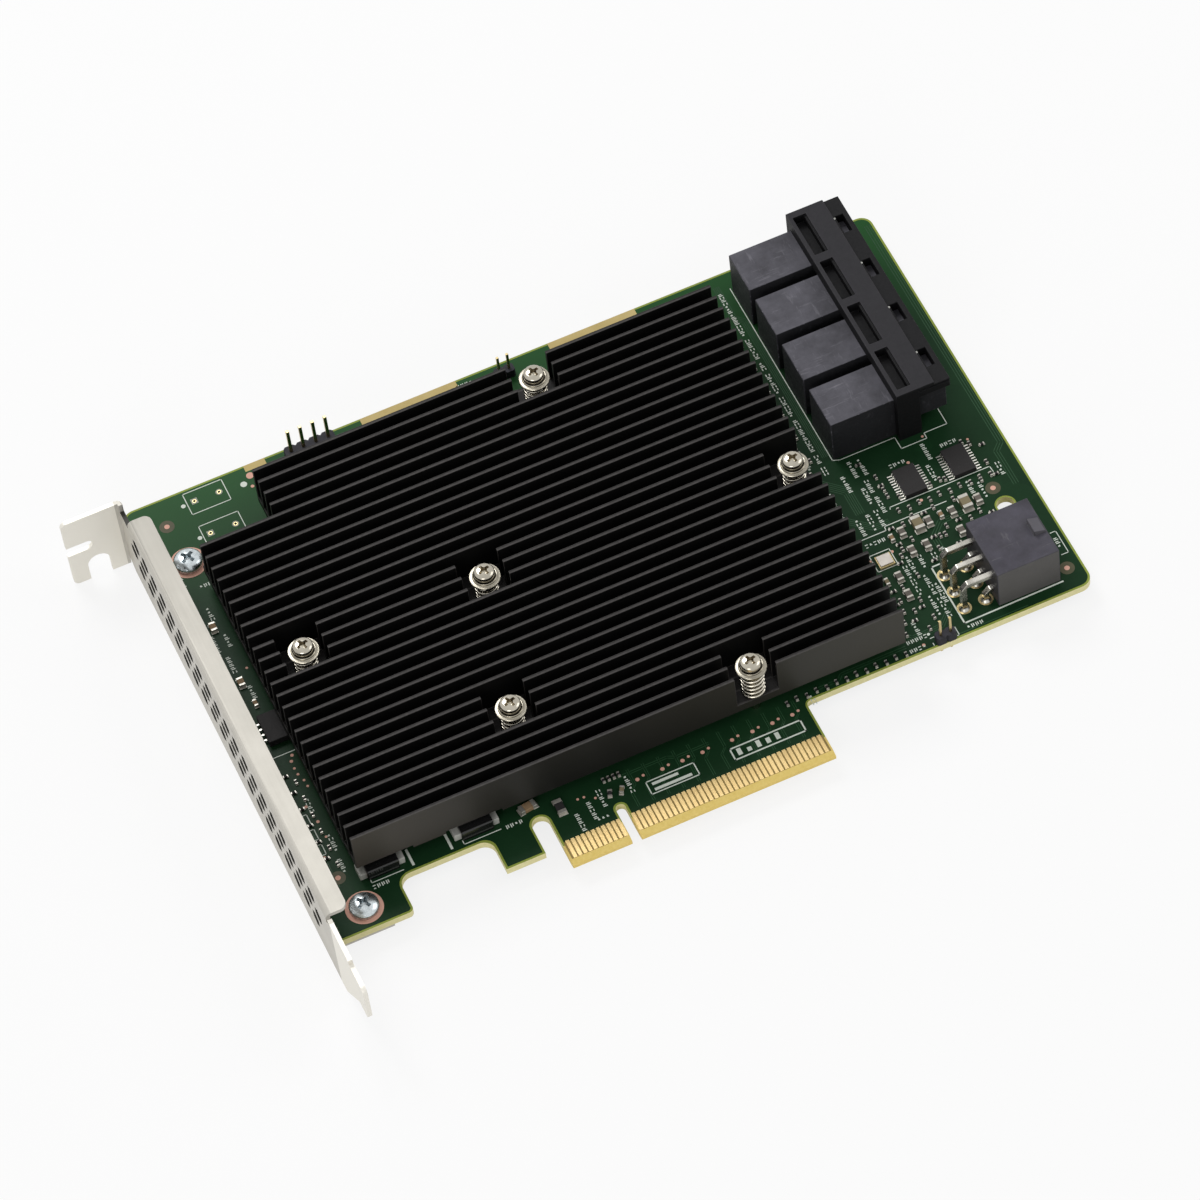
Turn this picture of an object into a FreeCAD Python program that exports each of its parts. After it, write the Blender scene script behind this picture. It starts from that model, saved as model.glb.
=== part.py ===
import FreeCAD, Part
import math
import os
import re

import Sketcher

# Storage controller card: a full-height card with an edge connector, a slot bracket,
# a finned heat sink held by spring screws, four ganged cable ports and a power inlet.
#
# Frame: X runs along the card, away from the bracket, with X = 0 on the key notch;
# Y = 0 is the lower edge of the edge connector and +Y points to the card's upper edge;
# Z = 0 is the component face of the board and +Z leaves it. Millimetres.

# ---------------------------------------------------------------- driving dimensions
sizes = {
    # board
    "board_length": 155.6,
    "board_right": 98.25,
    "board_height": 111.15,
    "board_thick": 1.57,
    "board_corner": 2.4,
    "inner_corner": 1.0,
    "ledge_corner": 2.4,
    "ledge_right": 13.1,
    "ledge_left": 12.0,
    "key_width": 1.9,
    "key_top": 8.2,
    "tab_long_end": 39.6,
    "tab_short_end": -12.6,
    "tab_bevel": 1.2,
    "tab_bevel_depth": 0.4,
    "hook_slot_width": 3.4,
    "hook_slot_top": 12.4,
    "hook_width": 7.7,
    "hook_foot": 4.6,
    "corner_foot_length": 15.35,
    "corner_foot": 4.1,
    "board_hole_x": 91.5,
    "board_hole_y": 36.5,
    "board_hole_radius": 1.7,
    # gold contacts of the edge connector
    "contact_pitch": 1.0,
    "contact_width": 0.7,
    "contact_foot": 1.3,
    "contact_length": 4.1,
    "contact_thick": 0.04,
    "contact_first": 1.5,
    "contact_count_long": 38,
    "contact_count_short": 11,
    # slot bracket
    "sheet_thick": 0.86,
    "bracket_gap": 0.65,
    "bracket_rise": 14.36,
    "bracket_width": 18.42,
    "bracket_length": 120.02,
    "bracket_top": 103.9,
    "tab_reach": 11.43,
    "flange_reach": 4.45,
    "flange_low_margin": 17.22,
    "flange_high_margin": 5.7,
    "flange_corner": 1.5,
    "bend_radius": 1.1,
    "edge_cut_length": 3.3,
    "edge_cut_rise": 1.56,
    "relief_high": 4.3,
    "relief_low": 1.1,
    "relief_depth": 1.9,
    "tongue_shoulder": 12.5,
    "tongue_taper": 8.36,
    "tongue_high_shoulder": 6.5,
    "tongue_high_step": 1.06,
    "tongue_corner": 1.2,
    "screw_notch_width": 4.42,
    "screw_notch_depth": 6.2,
    "screw_notch_offset": 5.9,
    "locating_slot_width": 2.4,
    "locating_slot_depth": 4.0,
    "locating_slot_rise": 6.0,
    "vent_pitch": 4.52,
    "vent_flats": 3.1,
    "vent_low_margin": 24.9,
    "vent_high_margin": 9.15,
    "vent_middle": 6.7,
    "ear_length": 12.0,
    "ear_width": 9.0,
    # the two screws that hold the bracket
    "bracket_screw_x": 7.5,
    "bracket_screw_low": 8.8,
    "bracket_screw_high": 94.9,
    "bracket_screw_radius": 1.45,
    "bracket_screw_length": 3.7,
    "bracket_head_radius": 2.8,
    "bracket_head_height": 2.0,
    "screw_clearance": 0.15,
    "thread_clearance": 0.05,
    # heat sink
    "sink_gap": 3.1,
    "sink_base": 1.9,
    "sink_left_margin": 8.9,
    "sink_right_margin": 37.5,
    "sink_front": 14.65,
    "sink_rear_margin": 11.3,
    "fin_height": 8.0,
    "fin_thick": 0.65,
    "fin_count": 30,
    "capacitor_relief_length": 11.2,
    "capacitor_relief": 0.7,
    "corner_cut_length": 15.25,
    "corner_cut_rows": 4,
    "pocket_width": 8.3,
    "pocket_rows": 3,
    "screw_below_row": 1.1,
    "screw_right_inset": 3.6,
    "screw_left_inset": 8.35,
    "screw_rear_x": 22.5,
    "screw_front_x": 31.2,
    "screw_middle_x": -3.9,
    "screw_near_x": -11.3,
    # spring screws
    "spring_screw_radius": 1.0,
    "spring_screw_hole": 1.3,
    "spring_head_radius": 1.95,
    "spring_head_height": 1.6,
    "collar_radius": 2.95,
    "collar_thick": 0.5,
    "collar_lip_radius": 2.3,
    "collar_lip": 0.4,
    "spring_height": 5.4,
    "spring_radius": 2.1,
    "spring_wire": 0.5,
    "spring_turns": 5.0,
    "spring_play": 0.1,
    "nut_flats": 4.5,
    "nut_height": 1.6,
    # chips below the heat sink
    "processor_side": 31.0,
    "processor_substrate": 1.1,
    "lid_side": 26.0,
    "lid_height": 1.2,
    "processor_x": 8.0,
    "processor_y": 40.0,
    "memory_length": 11.0,
    "memory_width": 8.0,
    "memory_height": 1.2,
    "memory_inset": 21.45,
    "memory_y": 32.0,
    "memory_pitch": 13.0,
    "memory_count": 4,
    # cable ports
    "port_pitch": 12.07,
    "port_count": 4,
    "port_top_margin": 45.75,
    "shell_width": 9.55,
    "shell_height": 10.6,
    "shell_rear_margin": 30.75,
    "shell_front_margin": 7.1,
    "shell_step_length": 6.4,
    "shell_step": 2.8,
    "shell_wall": 0.8,
    "port_depth": 8.0,
    "port_height": 5.8,
    "contact_row_width": 7.2,
    "contact_row_gap": 1.4,
    "contact_row_thick": 0.3,
    "contact_row_length": 3.5,
    "bezel_wall": 1.7,
    "bezel_length": 10.95,
    "bezel_front_margin": 6.85,
    "bezel_thick": 2.95,
    "bezel_leg": 4.6,
    "bezel_clearance": 0.05,
    "bezel_step": 0.7,
    "bezel_step_length": 3.2,
    "bezel_groove": 0.3,
    "bezel_groove_drop": 1.1,
    "window_length": 2.35,
    "window_width": 10.15,
    "window_inset": 0.8,
    "window_depth": 2.2,
    "window_ledge": 0.4,
    "window_ledge_depth": 0.5,
    "latch_length": 1.7,
    "latch_width": 4.4,
    "latch_inset": 1.0,
    # power inlet
    "inlet_length": 12.6,
    "inlet_width": 13.5,
    "inlet_height": 9.4,
    "inlet_front_margin": 5.35,
    "inlet_low": 16.15,
    "cell_pitch": 4.2,
    "cell_side": 3.4,
    "cell_depth": 9.6,
    "cell_row_low": 2.7,
    "lead_side": 1.07,
    "lead_low_reach": 1.5,
    "lead_high_reach": 5.9,
    "lead_tip_inset": 2.5,
    "lead_tail": 1.3,
    "lead_hole": 0.9,
    "lead_bend": 1.3,
    "latch_ramp_length": 2.3,
    "latch_ramp_width": 3.5,
    "latch_ramp_height": 1.2,
    "latch_ramp_lip": 0.35,
    "latch_ramp_inset": 0.3,
    # pin headers
    "header_pitch": 2.54,
    "header_side": 2.54,
    "header_pin": 0.64,
    "header_pin_top": 8.5,
    "header_x": -23.15,
    "header_margin": 2.75,
    "header_count": 4,
    "jumper_pitch": 2.0,
    "jumper_side": 2.0,
    "jumper_pin": 0.5,
    "jumper_pin_top": 6.2,
    "jumper_count": 2,
    "rear_jumper_x": 19.5,
    "rear_jumper_margin": 3.4,
    "front_jumper_margin": 30.85,
    "front_jumper_y": 14.0,
    "pin_hole_clearance": 0.12,
    # small chips
    "chip_length": 6.5,
    "chip_width": 4.4,
    "chip_height": 1.0,
    "chip_lead_pitch": 0.65,
    "chip_lead_width": 0.26,
    "chip_lead_count": 10,
    "chip_span": 6.6,
    "chip_lead_thick": 0.15,
    "chip_x_margin": 20.4,
    "chip_gap": 10.1,
    "chip_rise": 4.1,
    "flash_length": 6.6,
    "flash_width": 3.9,
    "flash_height": 1.5,
    "flash_x_margin": 7.45,
    "flash_y": 52.3,
    "crystal_length": 3.1,
    "crystal_width": 2.9,
    "crystal_height": 0.8,
    "crystal_x_margin": 32.3,
    "crystal_drop": 10.2,
    # moulded capacitors in front of the heat sink
    "moulded_length": 7.2,
    "moulded_width": 4.3,
    "moulded_clearance": 0.4,
    "moulded_terminal": 1.5,
    "moulded_y": 15.75,
    "moulded_x_margin": 14.4,
    "moulded_spacing": 17.6,
    # ceramic capacitors, by case
    "large_case_length": 3.2,
    "large_case_width": 2.3,
    "large_case_height": 1.4,
    "medium_case_length": 2.0,
    "medium_case_width": 1.25,
    "medium_case_height": 0.9,
    "long_case_length": 3.2,
    "long_case_width": 1.6,
    "long_case_height": 1.0,
    "small_case_length": 1.6,
    "small_case_width": 0.8,
    "small_case_height": 0.6,
}

# heat sink screws: place along the card and the fin row that each one stands in
screw_places = [
    ("sink_right - screw_right_inset", 14),
    ("screw_rear_x", 28),
    ("screw_front_x", 1),
    ("screw_middle_x", 15),
    ("sink_left + screw_left_inset", 15),
    ("screw_near_x", 5),
]

# ceramic capacitors between the ports and the power inlet: case, distance from the card's end,
# and height above the middle of that space
service_capacitors = [
    ("large", 23.35, -5.54),
    ("large", 20.0, -1.04),
    ("medium", 21.3, -5.94),
    ("medium", 26.8, -5.84),
    ("medium", 26.85, -10.49),
    ("medium", 23.9, -10.49),
    ("medium", 31.55, -14.84),
    ("medium", 31.8, -19.19),
    ("small", 29.1, -6.04),
    ("small", 34.0, -14.74),
]
# ceramic capacitors by the bracket: case, distance from the board's edge, place, and whether it lies
# along the card
bracket_capacitors = [
    ("medium", 6.0, 64.6, False),
    ("medium", 6.65, 59.1, False),
    ("medium", 6.0, 78.6, False),
    ("long", 42.25, 15.3, True),
]


def point_at_cell(found):
    word = found.group()
    return "Sizes." + word if word in sizes else word


def cell(text):
    """An expression in which each driving dimension points at its cell of the sheet."""
    return re.sub(r"[a-z][a-z_]*", point_at_cell, text)


doc = FreeCAD.newDocument("storage_controller_card")
sheet = doc.addObject("Spreadsheet::Sheet", "Sizes")
# places and lengths that follow from the driving dimensions
derived = {
    "board_left": "board_right - board_length",
    "corner_foot_end": "board_left + corner_foot_length",
    "hook_right": "tab_short_end - hook_slot_width",
    "hook_left": "hook_right - hook_width",
    "bracket_inner": "board_left - bracket_gap",
    "bracket_outer": "bracket_inner - sheet_thick",
    "bracket_low": "bracket_rise - bracket_width",
    "tongue_end": "bracket_top - bracket_length",
    "tab_face": "bracket_top - sheet_thick",
    "tab_end": "bracket_outer - tab_reach",
    "flange_low": "tongue_end + flange_low_margin",
    "flange_high": "bracket_top - flange_high_margin",
    "vent_last": "bracket_top - vent_high_margin",
    "vent_count": "floor((vent_last - tongue_end - vent_low_margin) / vent_pitch) + 1",
    "vent_first": "vent_last - (vent_count - 1) * vent_pitch",
    "bracket_screw_place": "board_left + bracket_screw_x",
    "board_under": "-board_thick",
    "sink_left": "board_left + sink_left_margin",
    "sink_right": "board_right - sink_right_margin",
    "memory_x": "sink_left + memory_inset",
    "sink_rear": "board_height - sink_rear_margin",
    "sink_floor": "sink_gap + sink_base",
    "sink_top": "sink_floor + fin_height",
    "fin_pitch": "(sink_rear - sink_front - fin_thick) / (fin_count - 1)",
    "fin_first": "sink_front + fin_thick / 2",
    "collar_seat": "sink_floor + spring_height",
    "head_seat": "collar_seat + collar_thick + collar_lip",
    "port_first": "board_height - port_top_margin",
    "shell_rear": "board_right - shell_rear_margin",
    "shell_front": "board_right - shell_front_margin",
    "shell_low": "port_first - shell_width / 2",
    "shell_high": "port_first + (port_count - 1) * port_pitch + shell_width / 2",
    "port_middle": "shell_step + (shell_height - shell_step) / 2",
    "bezel_under": "shell_height + bezel_clearance",
    "bezel_top": "bezel_under + bezel_thick",
    "bezel_front": "board_right - bezel_front_margin",
    "bezel_rear": "bezel_front - bezel_length",
    "inlet_front": "board_right - inlet_front_margin",
    "inlet_rear": "inlet_front - inlet_length",
    "inlet_middle": "inlet_low + inlet_width / 2",
    "service_middle": "(inlet_low + inlet_width + shell_low) / 2",
    "chip_place": "service_middle + chip_rise",
    "flash_x": "board_left + flash_x_margin",
    "moulded_x": "board_left + moulded_x_margin",
    "cell_row_high": "cell_row_low + cell_pitch",
    "header_y": "board_height - header_margin",
    "rear_jumper_y": "board_height - rear_jumper_margin",
    "front_jumper_x": "board_right - front_jumper_margin",
}


def fill_sheet():
    """The driving dimensions, then what follows from them, one row each."""
    row = 1
    for name, value in sizes.items():
        sheet.set(f"A{row}", name)
        sheet.set(f"B{row}", str(value))
        sheet.setAlias(f"B{row}", name)
        row += 1
    for name, text in derived.items():
        sheet.set(f"A{row}", name)
        sheet.set(f"B{row}", "=" + text)
        sheet.setAlias(f"B{row}", name)
        row += 1
    sizes.update(derived)
    doc.recompute()


fill_sheet()


def value(text):
    """The number that an expression comes to."""
    return float(sheet.evalExpression(cell(text)))


# ---------------------------------------------------------------- building blocks
def new_body(name):
    body = doc.addObject("PartDesign::Body", name)
    body.Label = name
    return body


def datum(body, role):
    return next(feature for feature in body.Origin.OriginFeatures if feature.Role == role)


def new_sketch(body, name, plane="XY_Plane", level="0"):
    """A sketch on one of the body's own planes, raised along that plane's normal."""
    sketch = body.newObject("Sketcher::SketchObject", name)
    sketch.AttachmentSupport = (datum(body, plane), [""])
    sketch.MapMode = "FlatFace"
    sketch.setExpression("AttachmentOffset.Base.z", cell(level))
    return sketch


def place_point(sketch, geometry, point, text_x, text_y):
    for kind, text in (("DistanceX", text_x), ("DistanceY", text_y)):
        if text is None:
            continue
        number = sketch.addConstraint(Sketcher.Constraint(kind, -1, 1, geometry, point, value(text)))
        sketch.setExpression(f"Constraints[{number}]", cell(text))


def draw_outline(sketch, corners):
    """A closed outline through corners given counter-clockwise, each a pair of expressions.

    Sides are straight. A third item, "round" or "hollow", makes the side that follows a half circle,
    which stands out of the outline or cuts into it.
    """
    first = sketch.GeometryCount
    points = [FreeCAD.Vector(value(corner[0]), value(corner[1]), 0) for corner in corners]
    heads, tails = [], []
    for corner, start, end in zip(corners, points, points[1:] + points[:1]):
        form = corner[2] if len(corner) > 2 else "straight"
        heads.append(2 if form == "hollow" else 1)
        tails.append(1 if form == "hollow" else 2)
        if form == "straight":
            sketch.addGeometry(Part.LineSegment(start, end), False)
            continue
        spoke = (start - end) * 0.5 if form == "round" else (end - start) * 0.5
        circle = Part.Circle((start + end) * 0.5, FreeCAD.Vector(0, 0, 1), spoke.Length)
        angle = math.atan2(spoke.y, spoke.x)
        sketch.addGeometry(Part.ArcOfCircle(circle, angle, angle + math.pi), False)
    for side, corner in enumerate(corners):
        following = (side + 1) % len(corners)
        ends = (first + side, tails[side], first + following, heads[following])
        sketch.addConstraint(Sketcher.Constraint("Coincident", *ends))
        place_point(sketch, first + side, heads[side], corner[0], corner[1])
        if len(corner) > 2:
            chord = points[following] - points[side]
            level = abs(chord.x) > abs(chord.y)
            place_point(sketch, first + side, 3, None if level else corner[0], corner[1] if level else None)


def draw_rectangle(sketch, left, low, right, high):
    draw_outline(sketch, [(left, low), (right, low), (right, high), (left, high)])


def draw_centred(sketch, x, y, length, width):
    """A rectangle about its centre."""
    draw_rectangle(sketch, f"{x} - {length} / 2", f"{y} - {width} / 2",
                   f"{x} + {length} / 2", f"{y} + {width} / 2")


def draw_circle(sketch, x, y, radius):
    centre = FreeCAD.Vector(value(x), value(y), 0)
    number = sketch.addGeometry(Part.Circle(centre, FreeCAD.Vector(0, 0, 1), value(radius)), False)
    place_point(sketch, number, 3, x, y)
    constraint = sketch.addConstraint(Sketcher.Constraint("Radius", number, value(radius)))
    sketch.setExpression(f"Constraints[{constraint}]", cell(radius))


def draw_regular(sketch, x, y, flats, sides):
    """A regular outline of so many sides, measured across flats; two of them are square to the X axis."""
    corners = []
    for number in range(sides):
        angle = math.radians((number + 0.5) * 360 / sides)
        reach = 0.5 / math.cos(math.pi / sides)
        along_x, along_y = reach * math.cos(angle), reach * math.sin(angle)
        corners.append((f"{x} + ({flats}) * {along_x:.7f}", f"{y} + ({flats}) * {along_y:.7f}"))
    draw_outline(sketch, corners)


def pad(body, sketch, length, reverse=False):
    feature = body.newObject("PartDesign::Pad", sketch.Name + "_pad")
    feature.Profile = sketch
    feature.setExpression("Length", cell(length))
    feature.Reversed = reverse
    doc.recompute()
    return feature


def pocket(body, sketch, length, reverse=False):
    """A cut from the sketch's plane; it has to take something away."""
    before = body.Shape.Volume
    feature = body.newObject("PartDesign::Pocket", sketch.Name + "_pocket")
    feature.Profile = sketch
    feature.setExpression("Length", cell(length))
    feature.Reversed = reverse
    doc.recompute()
    if body.Shape.Volume >= before - 1e-6:
        raise RuntimeError(f"{feature.Name} cuts nothing")
    return feature


def pattern(body, feature, axis, pitch, count):
    """A row of equal steps along one of the body's axes; the body ends with it."""
    row = body.newObject("PartDesign::LinearPattern", feature.Name + "_row")
    row.Originals = [feature]
    row.Direction = (datum(body, axis), [""])
    row.Mode = "Spacing"
    row.setExpression("Offset", cell(pitch))
    row.setExpression("Occurrences", cell(count))
    body.Tip = row
    doc.recompute()
    return row


def edges_where(shape, chosen):
    return [f"Edge{number}" for number, edge in enumerate(shape.Edges, 1) if chosen(edge)]


def along(edge, axis):
    """Whether a straight edge runs along X, Y or Z (0, 1 or 2)."""
    if edge.Curve.TypeId != "Part::GeomLine":
        return False
    return abs(abs(edge.tangentAt(edge.FirstParameter)[axis]) - 1) < 1e-6


def at_place(edge, **places):
    """Whether the edge's middle has the coordinates given as x, y or z."""
    middle = edge.CenterOfMass
    return all(abs(getattr(middle, axis) - value(text)) < 0.01 for axis, text in places.items())


def round_edges(body, chosen, radius):
    base = body.Tip
    fillet = body.newObject("PartDesign::Fillet", body.Name + "_round")
    fillet.Base = (base, edges_where(base.Shape, chosen))
    fillet.setExpression("Radius", cell(radius))
    body.Tip = fillet
    doc.recompute()
    return fillet


def round_corners(body, corners, radius):
    """Rounds the body's upright edges at the corners given, each by its x and y."""
    round_edges(body, lambda edge: along(edge, 2) and any(at_place(edge, x=x, y=y) for x, y in corners),
                radius)


def box(name, low, high):
    """A block between two corners, each given by three expressions."""
    block = doc.addObject("Part::Box", name)
    for axis, side, start, end in zip("xyz", ("Length", "Width", "Height"), low, high):
        block.setExpression(f"Placement.Base.{axis}", cell(start))
        block.setExpression(side, cell(f"({end}) - ({start})"))
    return block


def group(name, members):
    """Separate solids of one kind, kept together as one sub-part."""
    compound = doc.addObject("Part::Compound", name)
    compound.Links = members
    compound.Label = name
    return compound


def copies(name, source, places):
    """The same piece at several places, as one sub-part."""
    links = []
    for number, place in enumerate(places, 1):
        link = doc.addObject("App::Link", f"{name}_{number}")
        link.LinkedObject = source
        for axis, text in zip("xyz", place):
            link.setExpression(f"LinkPlacement.Base.{axis}", cell(text))
        links.append(link)
    return group(name, links)


def screw_centres():
    rows = "sink_front + fin_thick / 2 + {} * fin_pitch - screw_below_row"
    return [(x, rows.format(row)) for x, row in screw_places]


def make_board():
    body = new_body("circuit_board")
    outline = new_sketch(body, "board_outline")
    draw_outline(outline, [
        ("key_width / 2", "0"),
        ("tab_long_end", "0"),
        ("tab_long_end", "ledge_right"),
        ("board_right", "ledge_right"),
        ("board_right", "board_height"),
        ("board_left", "board_height"),
        ("board_left", "corner_foot"),
        ("corner_foot_end", "corner_foot"),
        ("corner_foot_end", "ledge_left"),
        ("hook_left", "ledge_left"),
        ("hook_left", "hook_foot"),
        ("hook_right", "hook_foot"),
        ("hook_right", "hook_slot_top - hook_slot_width / 2", "hollow"),
        ("tab_short_end", "hook_slot_top - hook_slot_width / 2"),
        ("tab_short_end", "0"),
        ("-key_width / 2", "0"),
        ("-key_width / 2", "key_top - key_width / 2", "hollow"),
        ("key_width / 2", "key_top - key_width / 2"),
    ])
    pad(body, outline, "board_thick", reverse=True)
    holes = new_sketch(body, "board_holes")
    draw_circle(holes, "board_hole_x", "board_hole_y", "board_hole_radius")
    for y in ("bracket_screw_low", "bracket_screw_high"):
        draw_circle(holes, "bracket_screw_place", y, "bracket_screw_radius + screw_clearance")
    pocket(body, holes, "board_thick")
    bores = new_sketch(body, "spring_screw_bores")
    for x, y in screw_centres():
        draw_regular(bores, x, y, "2 * spring_screw_hole", 8)
    pocket(body, bores, "board_thick")
    bores = new_sketch(body, "lead_bores")
    for reach in ("lead_low_reach", "lead_high_reach"):
        draw_regular(bores, f"inlet_rear - {reach}", "inlet_middle - cell_pitch", "2 * lead_hole", 8)
    pattern(body, pocket(body, bores, "board_thick"), "Y_Axis", "cell_pitch", "3")
    for name, x, y, side, pitch, count in pin_rows:
        bores = new_sketch(body, f"{name}_bores")
        draw_regular(bores, x, y, f"{side} * 1.4144 + 2 * pin_hole_clearance", 8)
        pattern(body, pocket(body, bores, "board_thick"), "X_Axis", pitch, count)
    outer = [("board_right", "board_height"), ("board_left", "board_height"), ("board_right", "ledge_right")]
    round_corners(body, outer, "board_corner")
    inner = [
        ("tab_long_end", "ledge_right"),
        ("board_left", "corner_foot"),
        ("corner_foot_end", "corner_foot"),
    ]
    round_corners(body, inner, "inner_corner")
    round_corners(body, [("corner_foot_end", "ledge_left"), ("hook_left", "ledge_left")], "ledge_corner")
    bevels = new_sketch(body, "tab_bevels", "YZ_Plane", "tab_short_end")
    draw_outline(bevels, [("0", "0"), ("0", "-tab_bevel_depth"), ("tab_bevel", "0")])
    draw_outline(bevels, [
        ("0", "-board_thick"),
        ("tab_bevel", "-board_thick"),
        ("0", "tab_bevel_depth - board_thick"),
    ])
    pocket(body, bevels, "tab_long_end - tab_short_end", reverse=True)
    return body


# pin headers: name, first pin's place, pin's side, pitch and count
pin_rows = [
    ("header", "header_x", "header_y", "header_pin", "header_pitch", "header_count"),
    ("rear_jumper", "rear_jumper_x", "rear_jumper_y", "jumper_pin", "jumper_pitch", "jumper_count"),
    ("front_jumper", "front_jumper_x", "front_jumper_y", "jumper_pin", "jumper_pitch", "jumper_count"),
]


def header_pins():
    """Centre and side of every pin of the three pin headers."""
    return [(f"{x} + {number} * {pitch}", y, side)
            for _, x, y, side, pitch, count in pin_rows for number in range(int(value(count)))]


def make_contacts(name, low, high):
    """One face's gold contacts: the long row, and the short row beyond the key notch."""
    body = new_body(name)
    short_first = "-contact_first - (contact_count_short - 1) * contact_pitch"
    for row, first, count in (
        ("long", "contact_first", "contact_count_long"),
        ("short", short_first, "contact_count_short"),
    ):
        strip = new_sketch(body, f"{name}_{row}", level=low)
        draw_rectangle(strip, f"{first} - contact_width / 2", "contact_foot",
                       f"{first} + contact_width / 2", "contact_foot + contact_length")
        pattern(body, pad(body, strip, f"({high}) - ({low})"), "X_Axis", "contact_pitch", count)
    return body


def make_bracket():
    body = new_body("slot_bracket")
    face = new_sketch(body, "bracket_face", "YZ_Plane", "bracket_outer")
    draw_outline(face, [
        ("tongue_end + tongue_shoulder", "bracket_low"),
        ("bracket_top - edge_cut_length", "bracket_low"),
        ("bracket_top - sheet_thick", "bracket_low + edge_cut_rise"),
        ("bracket_top", "bracket_low + edge_cut_rise"),
        ("bracket_top", "bracket_rise"),
        ("flange_high + relief_high", "bracket_rise"),
        ("flange_high + relief_high", "bracket_rise - relief_depth"),
        ("flange_high", "bracket_rise - relief_depth"),
        ("flange_high", "bracket_rise"),
        ("flange_low", "bracket_rise"),
        ("flange_low", "bracket_rise - relief_depth"),
        ("flange_low - relief_low", "bracket_rise - relief_depth"),
        ("flange_low - relief_low", "bracket_rise"),
        ("tongue_end + tongue_high_shoulder", "bracket_rise"),
        ("tongue_end + tongue_high_shoulder", "bracket_rise - tongue_high_step"),
        ("tongue_end", "bracket_rise - tongue_high_step"),
        ("tongue_end", "bracket_low + tongue_taper"),
        ("tongue_end + tongue_shoulder - tongue_taper", "bracket_low + tongue_taper"),
    ])
    pad(body, face, "sheet_thick")
    flange = new_sketch(body, "bracket_flange", level="bracket_rise - sheet_thick")
    draw_rectangle(flange, "bracket_outer", "flange_low", "bracket_outer + flange_reach", "flange_high")
    pad(body, flange, "sheet_thick")
    tab = new_sketch(body, "bracket_tab", "XZ_Plane", "-bracket_top")
    draw_rectangle(tab, "tab_end", "bracket_low", "bracket_outer", "bracket_rise")
    pad(body, tab, "sheet_thick")
    notches = new_sketch(body, "tab_notches", "XZ_Plane", "-bracket_top")
    seat = "bracket_low + screw_notch_depth - screw_notch_width / 2"
    draw_outline(notches, [
        ("bracket_outer - screw_notch_offset - screw_notch_width / 2", "bracket_low"),
        ("bracket_outer - screw_notch_offset + screw_notch_width / 2", "bracket_low"),
        ("bracket_outer - screw_notch_offset + screw_notch_width / 2", seat, "round"),
        ("bracket_outer - screw_notch_offset - screw_notch_width / 2", seat),
    ])
    draw_outline(notches, [
        ("tab_end", "locating_slot_rise - locating_slot_width / 2"),
        ("tab_end + locating_slot_depth", "locating_slot_rise - locating_slot_width / 2", "round"),
        ("tab_end + locating_slot_depth", "locating_slot_rise + locating_slot_width / 2"),
        ("tab_end", "locating_slot_rise + locating_slot_width / 2"),
    ])
    pocket(body, notches, "sheet_thick", reverse=True)
    ears = new_sketch(body, "bracket_ears", level="-board_thick")
    for y in ("bracket_screw_low", "bracket_screw_high"):
        draw_centred(ears, "bracket_inner + ear_length / 2", y, "ear_length", "ear_width")
    pad(body, ears, "sheet_thick", reverse=True)
    threads = new_sketch(body, "ear_threads", level="-board_thick - sheet_thick")
    for y in ("bracket_screw_low", "bracket_screw_high"):
        draw_circle(threads, "bracket_screw_place", y, "bracket_screw_radius + thread_clearance")
    pocket(body, threads, "sheet_thick", reverse=True)
    # the two bends are rounded outside, and so are the sheet's free corners
    round_edges(body, lambda edge: along(edge, 1) and edge.Length > value("flange_high - flange_low") / 2
                and at_place(edge, x="bracket_outer", z="bracket_rise"), "bend_radius")
    round_corners(body, [("bracket_inner", "bracket_top")], "bend_radius")
    free = "bracket_outer + flange_reach"
    round_corners(body, [(free, "flange_low"), (free, "flange_high")], "flange_corner")
    round_edges(body, lambda edge: along(edge, 1) and (at_place(edge, x="tab_end", z="bracket_low")
                or at_place(edge, x="tab_end", z="bracket_rise")), "tongue_corner")
    tip = ["bracket_low + tongue_taper", "bracket_rise - tongue_high_step"]
    round_edges(body, lambda edge: along(edge, 0) and any(at_place(edge, y="tongue_end", z=z) for z in tip),
                "tongue_corner")
    outer_rows = new_sketch(body, "vent_outer_rows", "YZ_Plane", "bracket_outer")
    for side in ("-1", "1"):
        rise = f"vent_middle + ({side}) * vent_pitch * 0.8660254"
        draw_regular(outer_rows, "vent_first", rise, "vent_flats", 6)
    first_pair = pocket(body, outer_rows, "sheet_thick", reverse=True)
    pattern(body, first_pair, "Y_Axis", "vent_pitch", "vent_count")
    middle_row = new_sketch(body, "vent_middle_row", "YZ_Plane", "bracket_outer")
    draw_regular(middle_row, "vent_first - vent_pitch / 2", "vent_middle", "vent_flats", 6)
    first_vent = pocket(body, middle_row, "sheet_thick", reverse=True)
    pattern(body, first_vent, "Y_Axis", "vent_pitch", "vent_count + 1")
    return body


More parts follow.
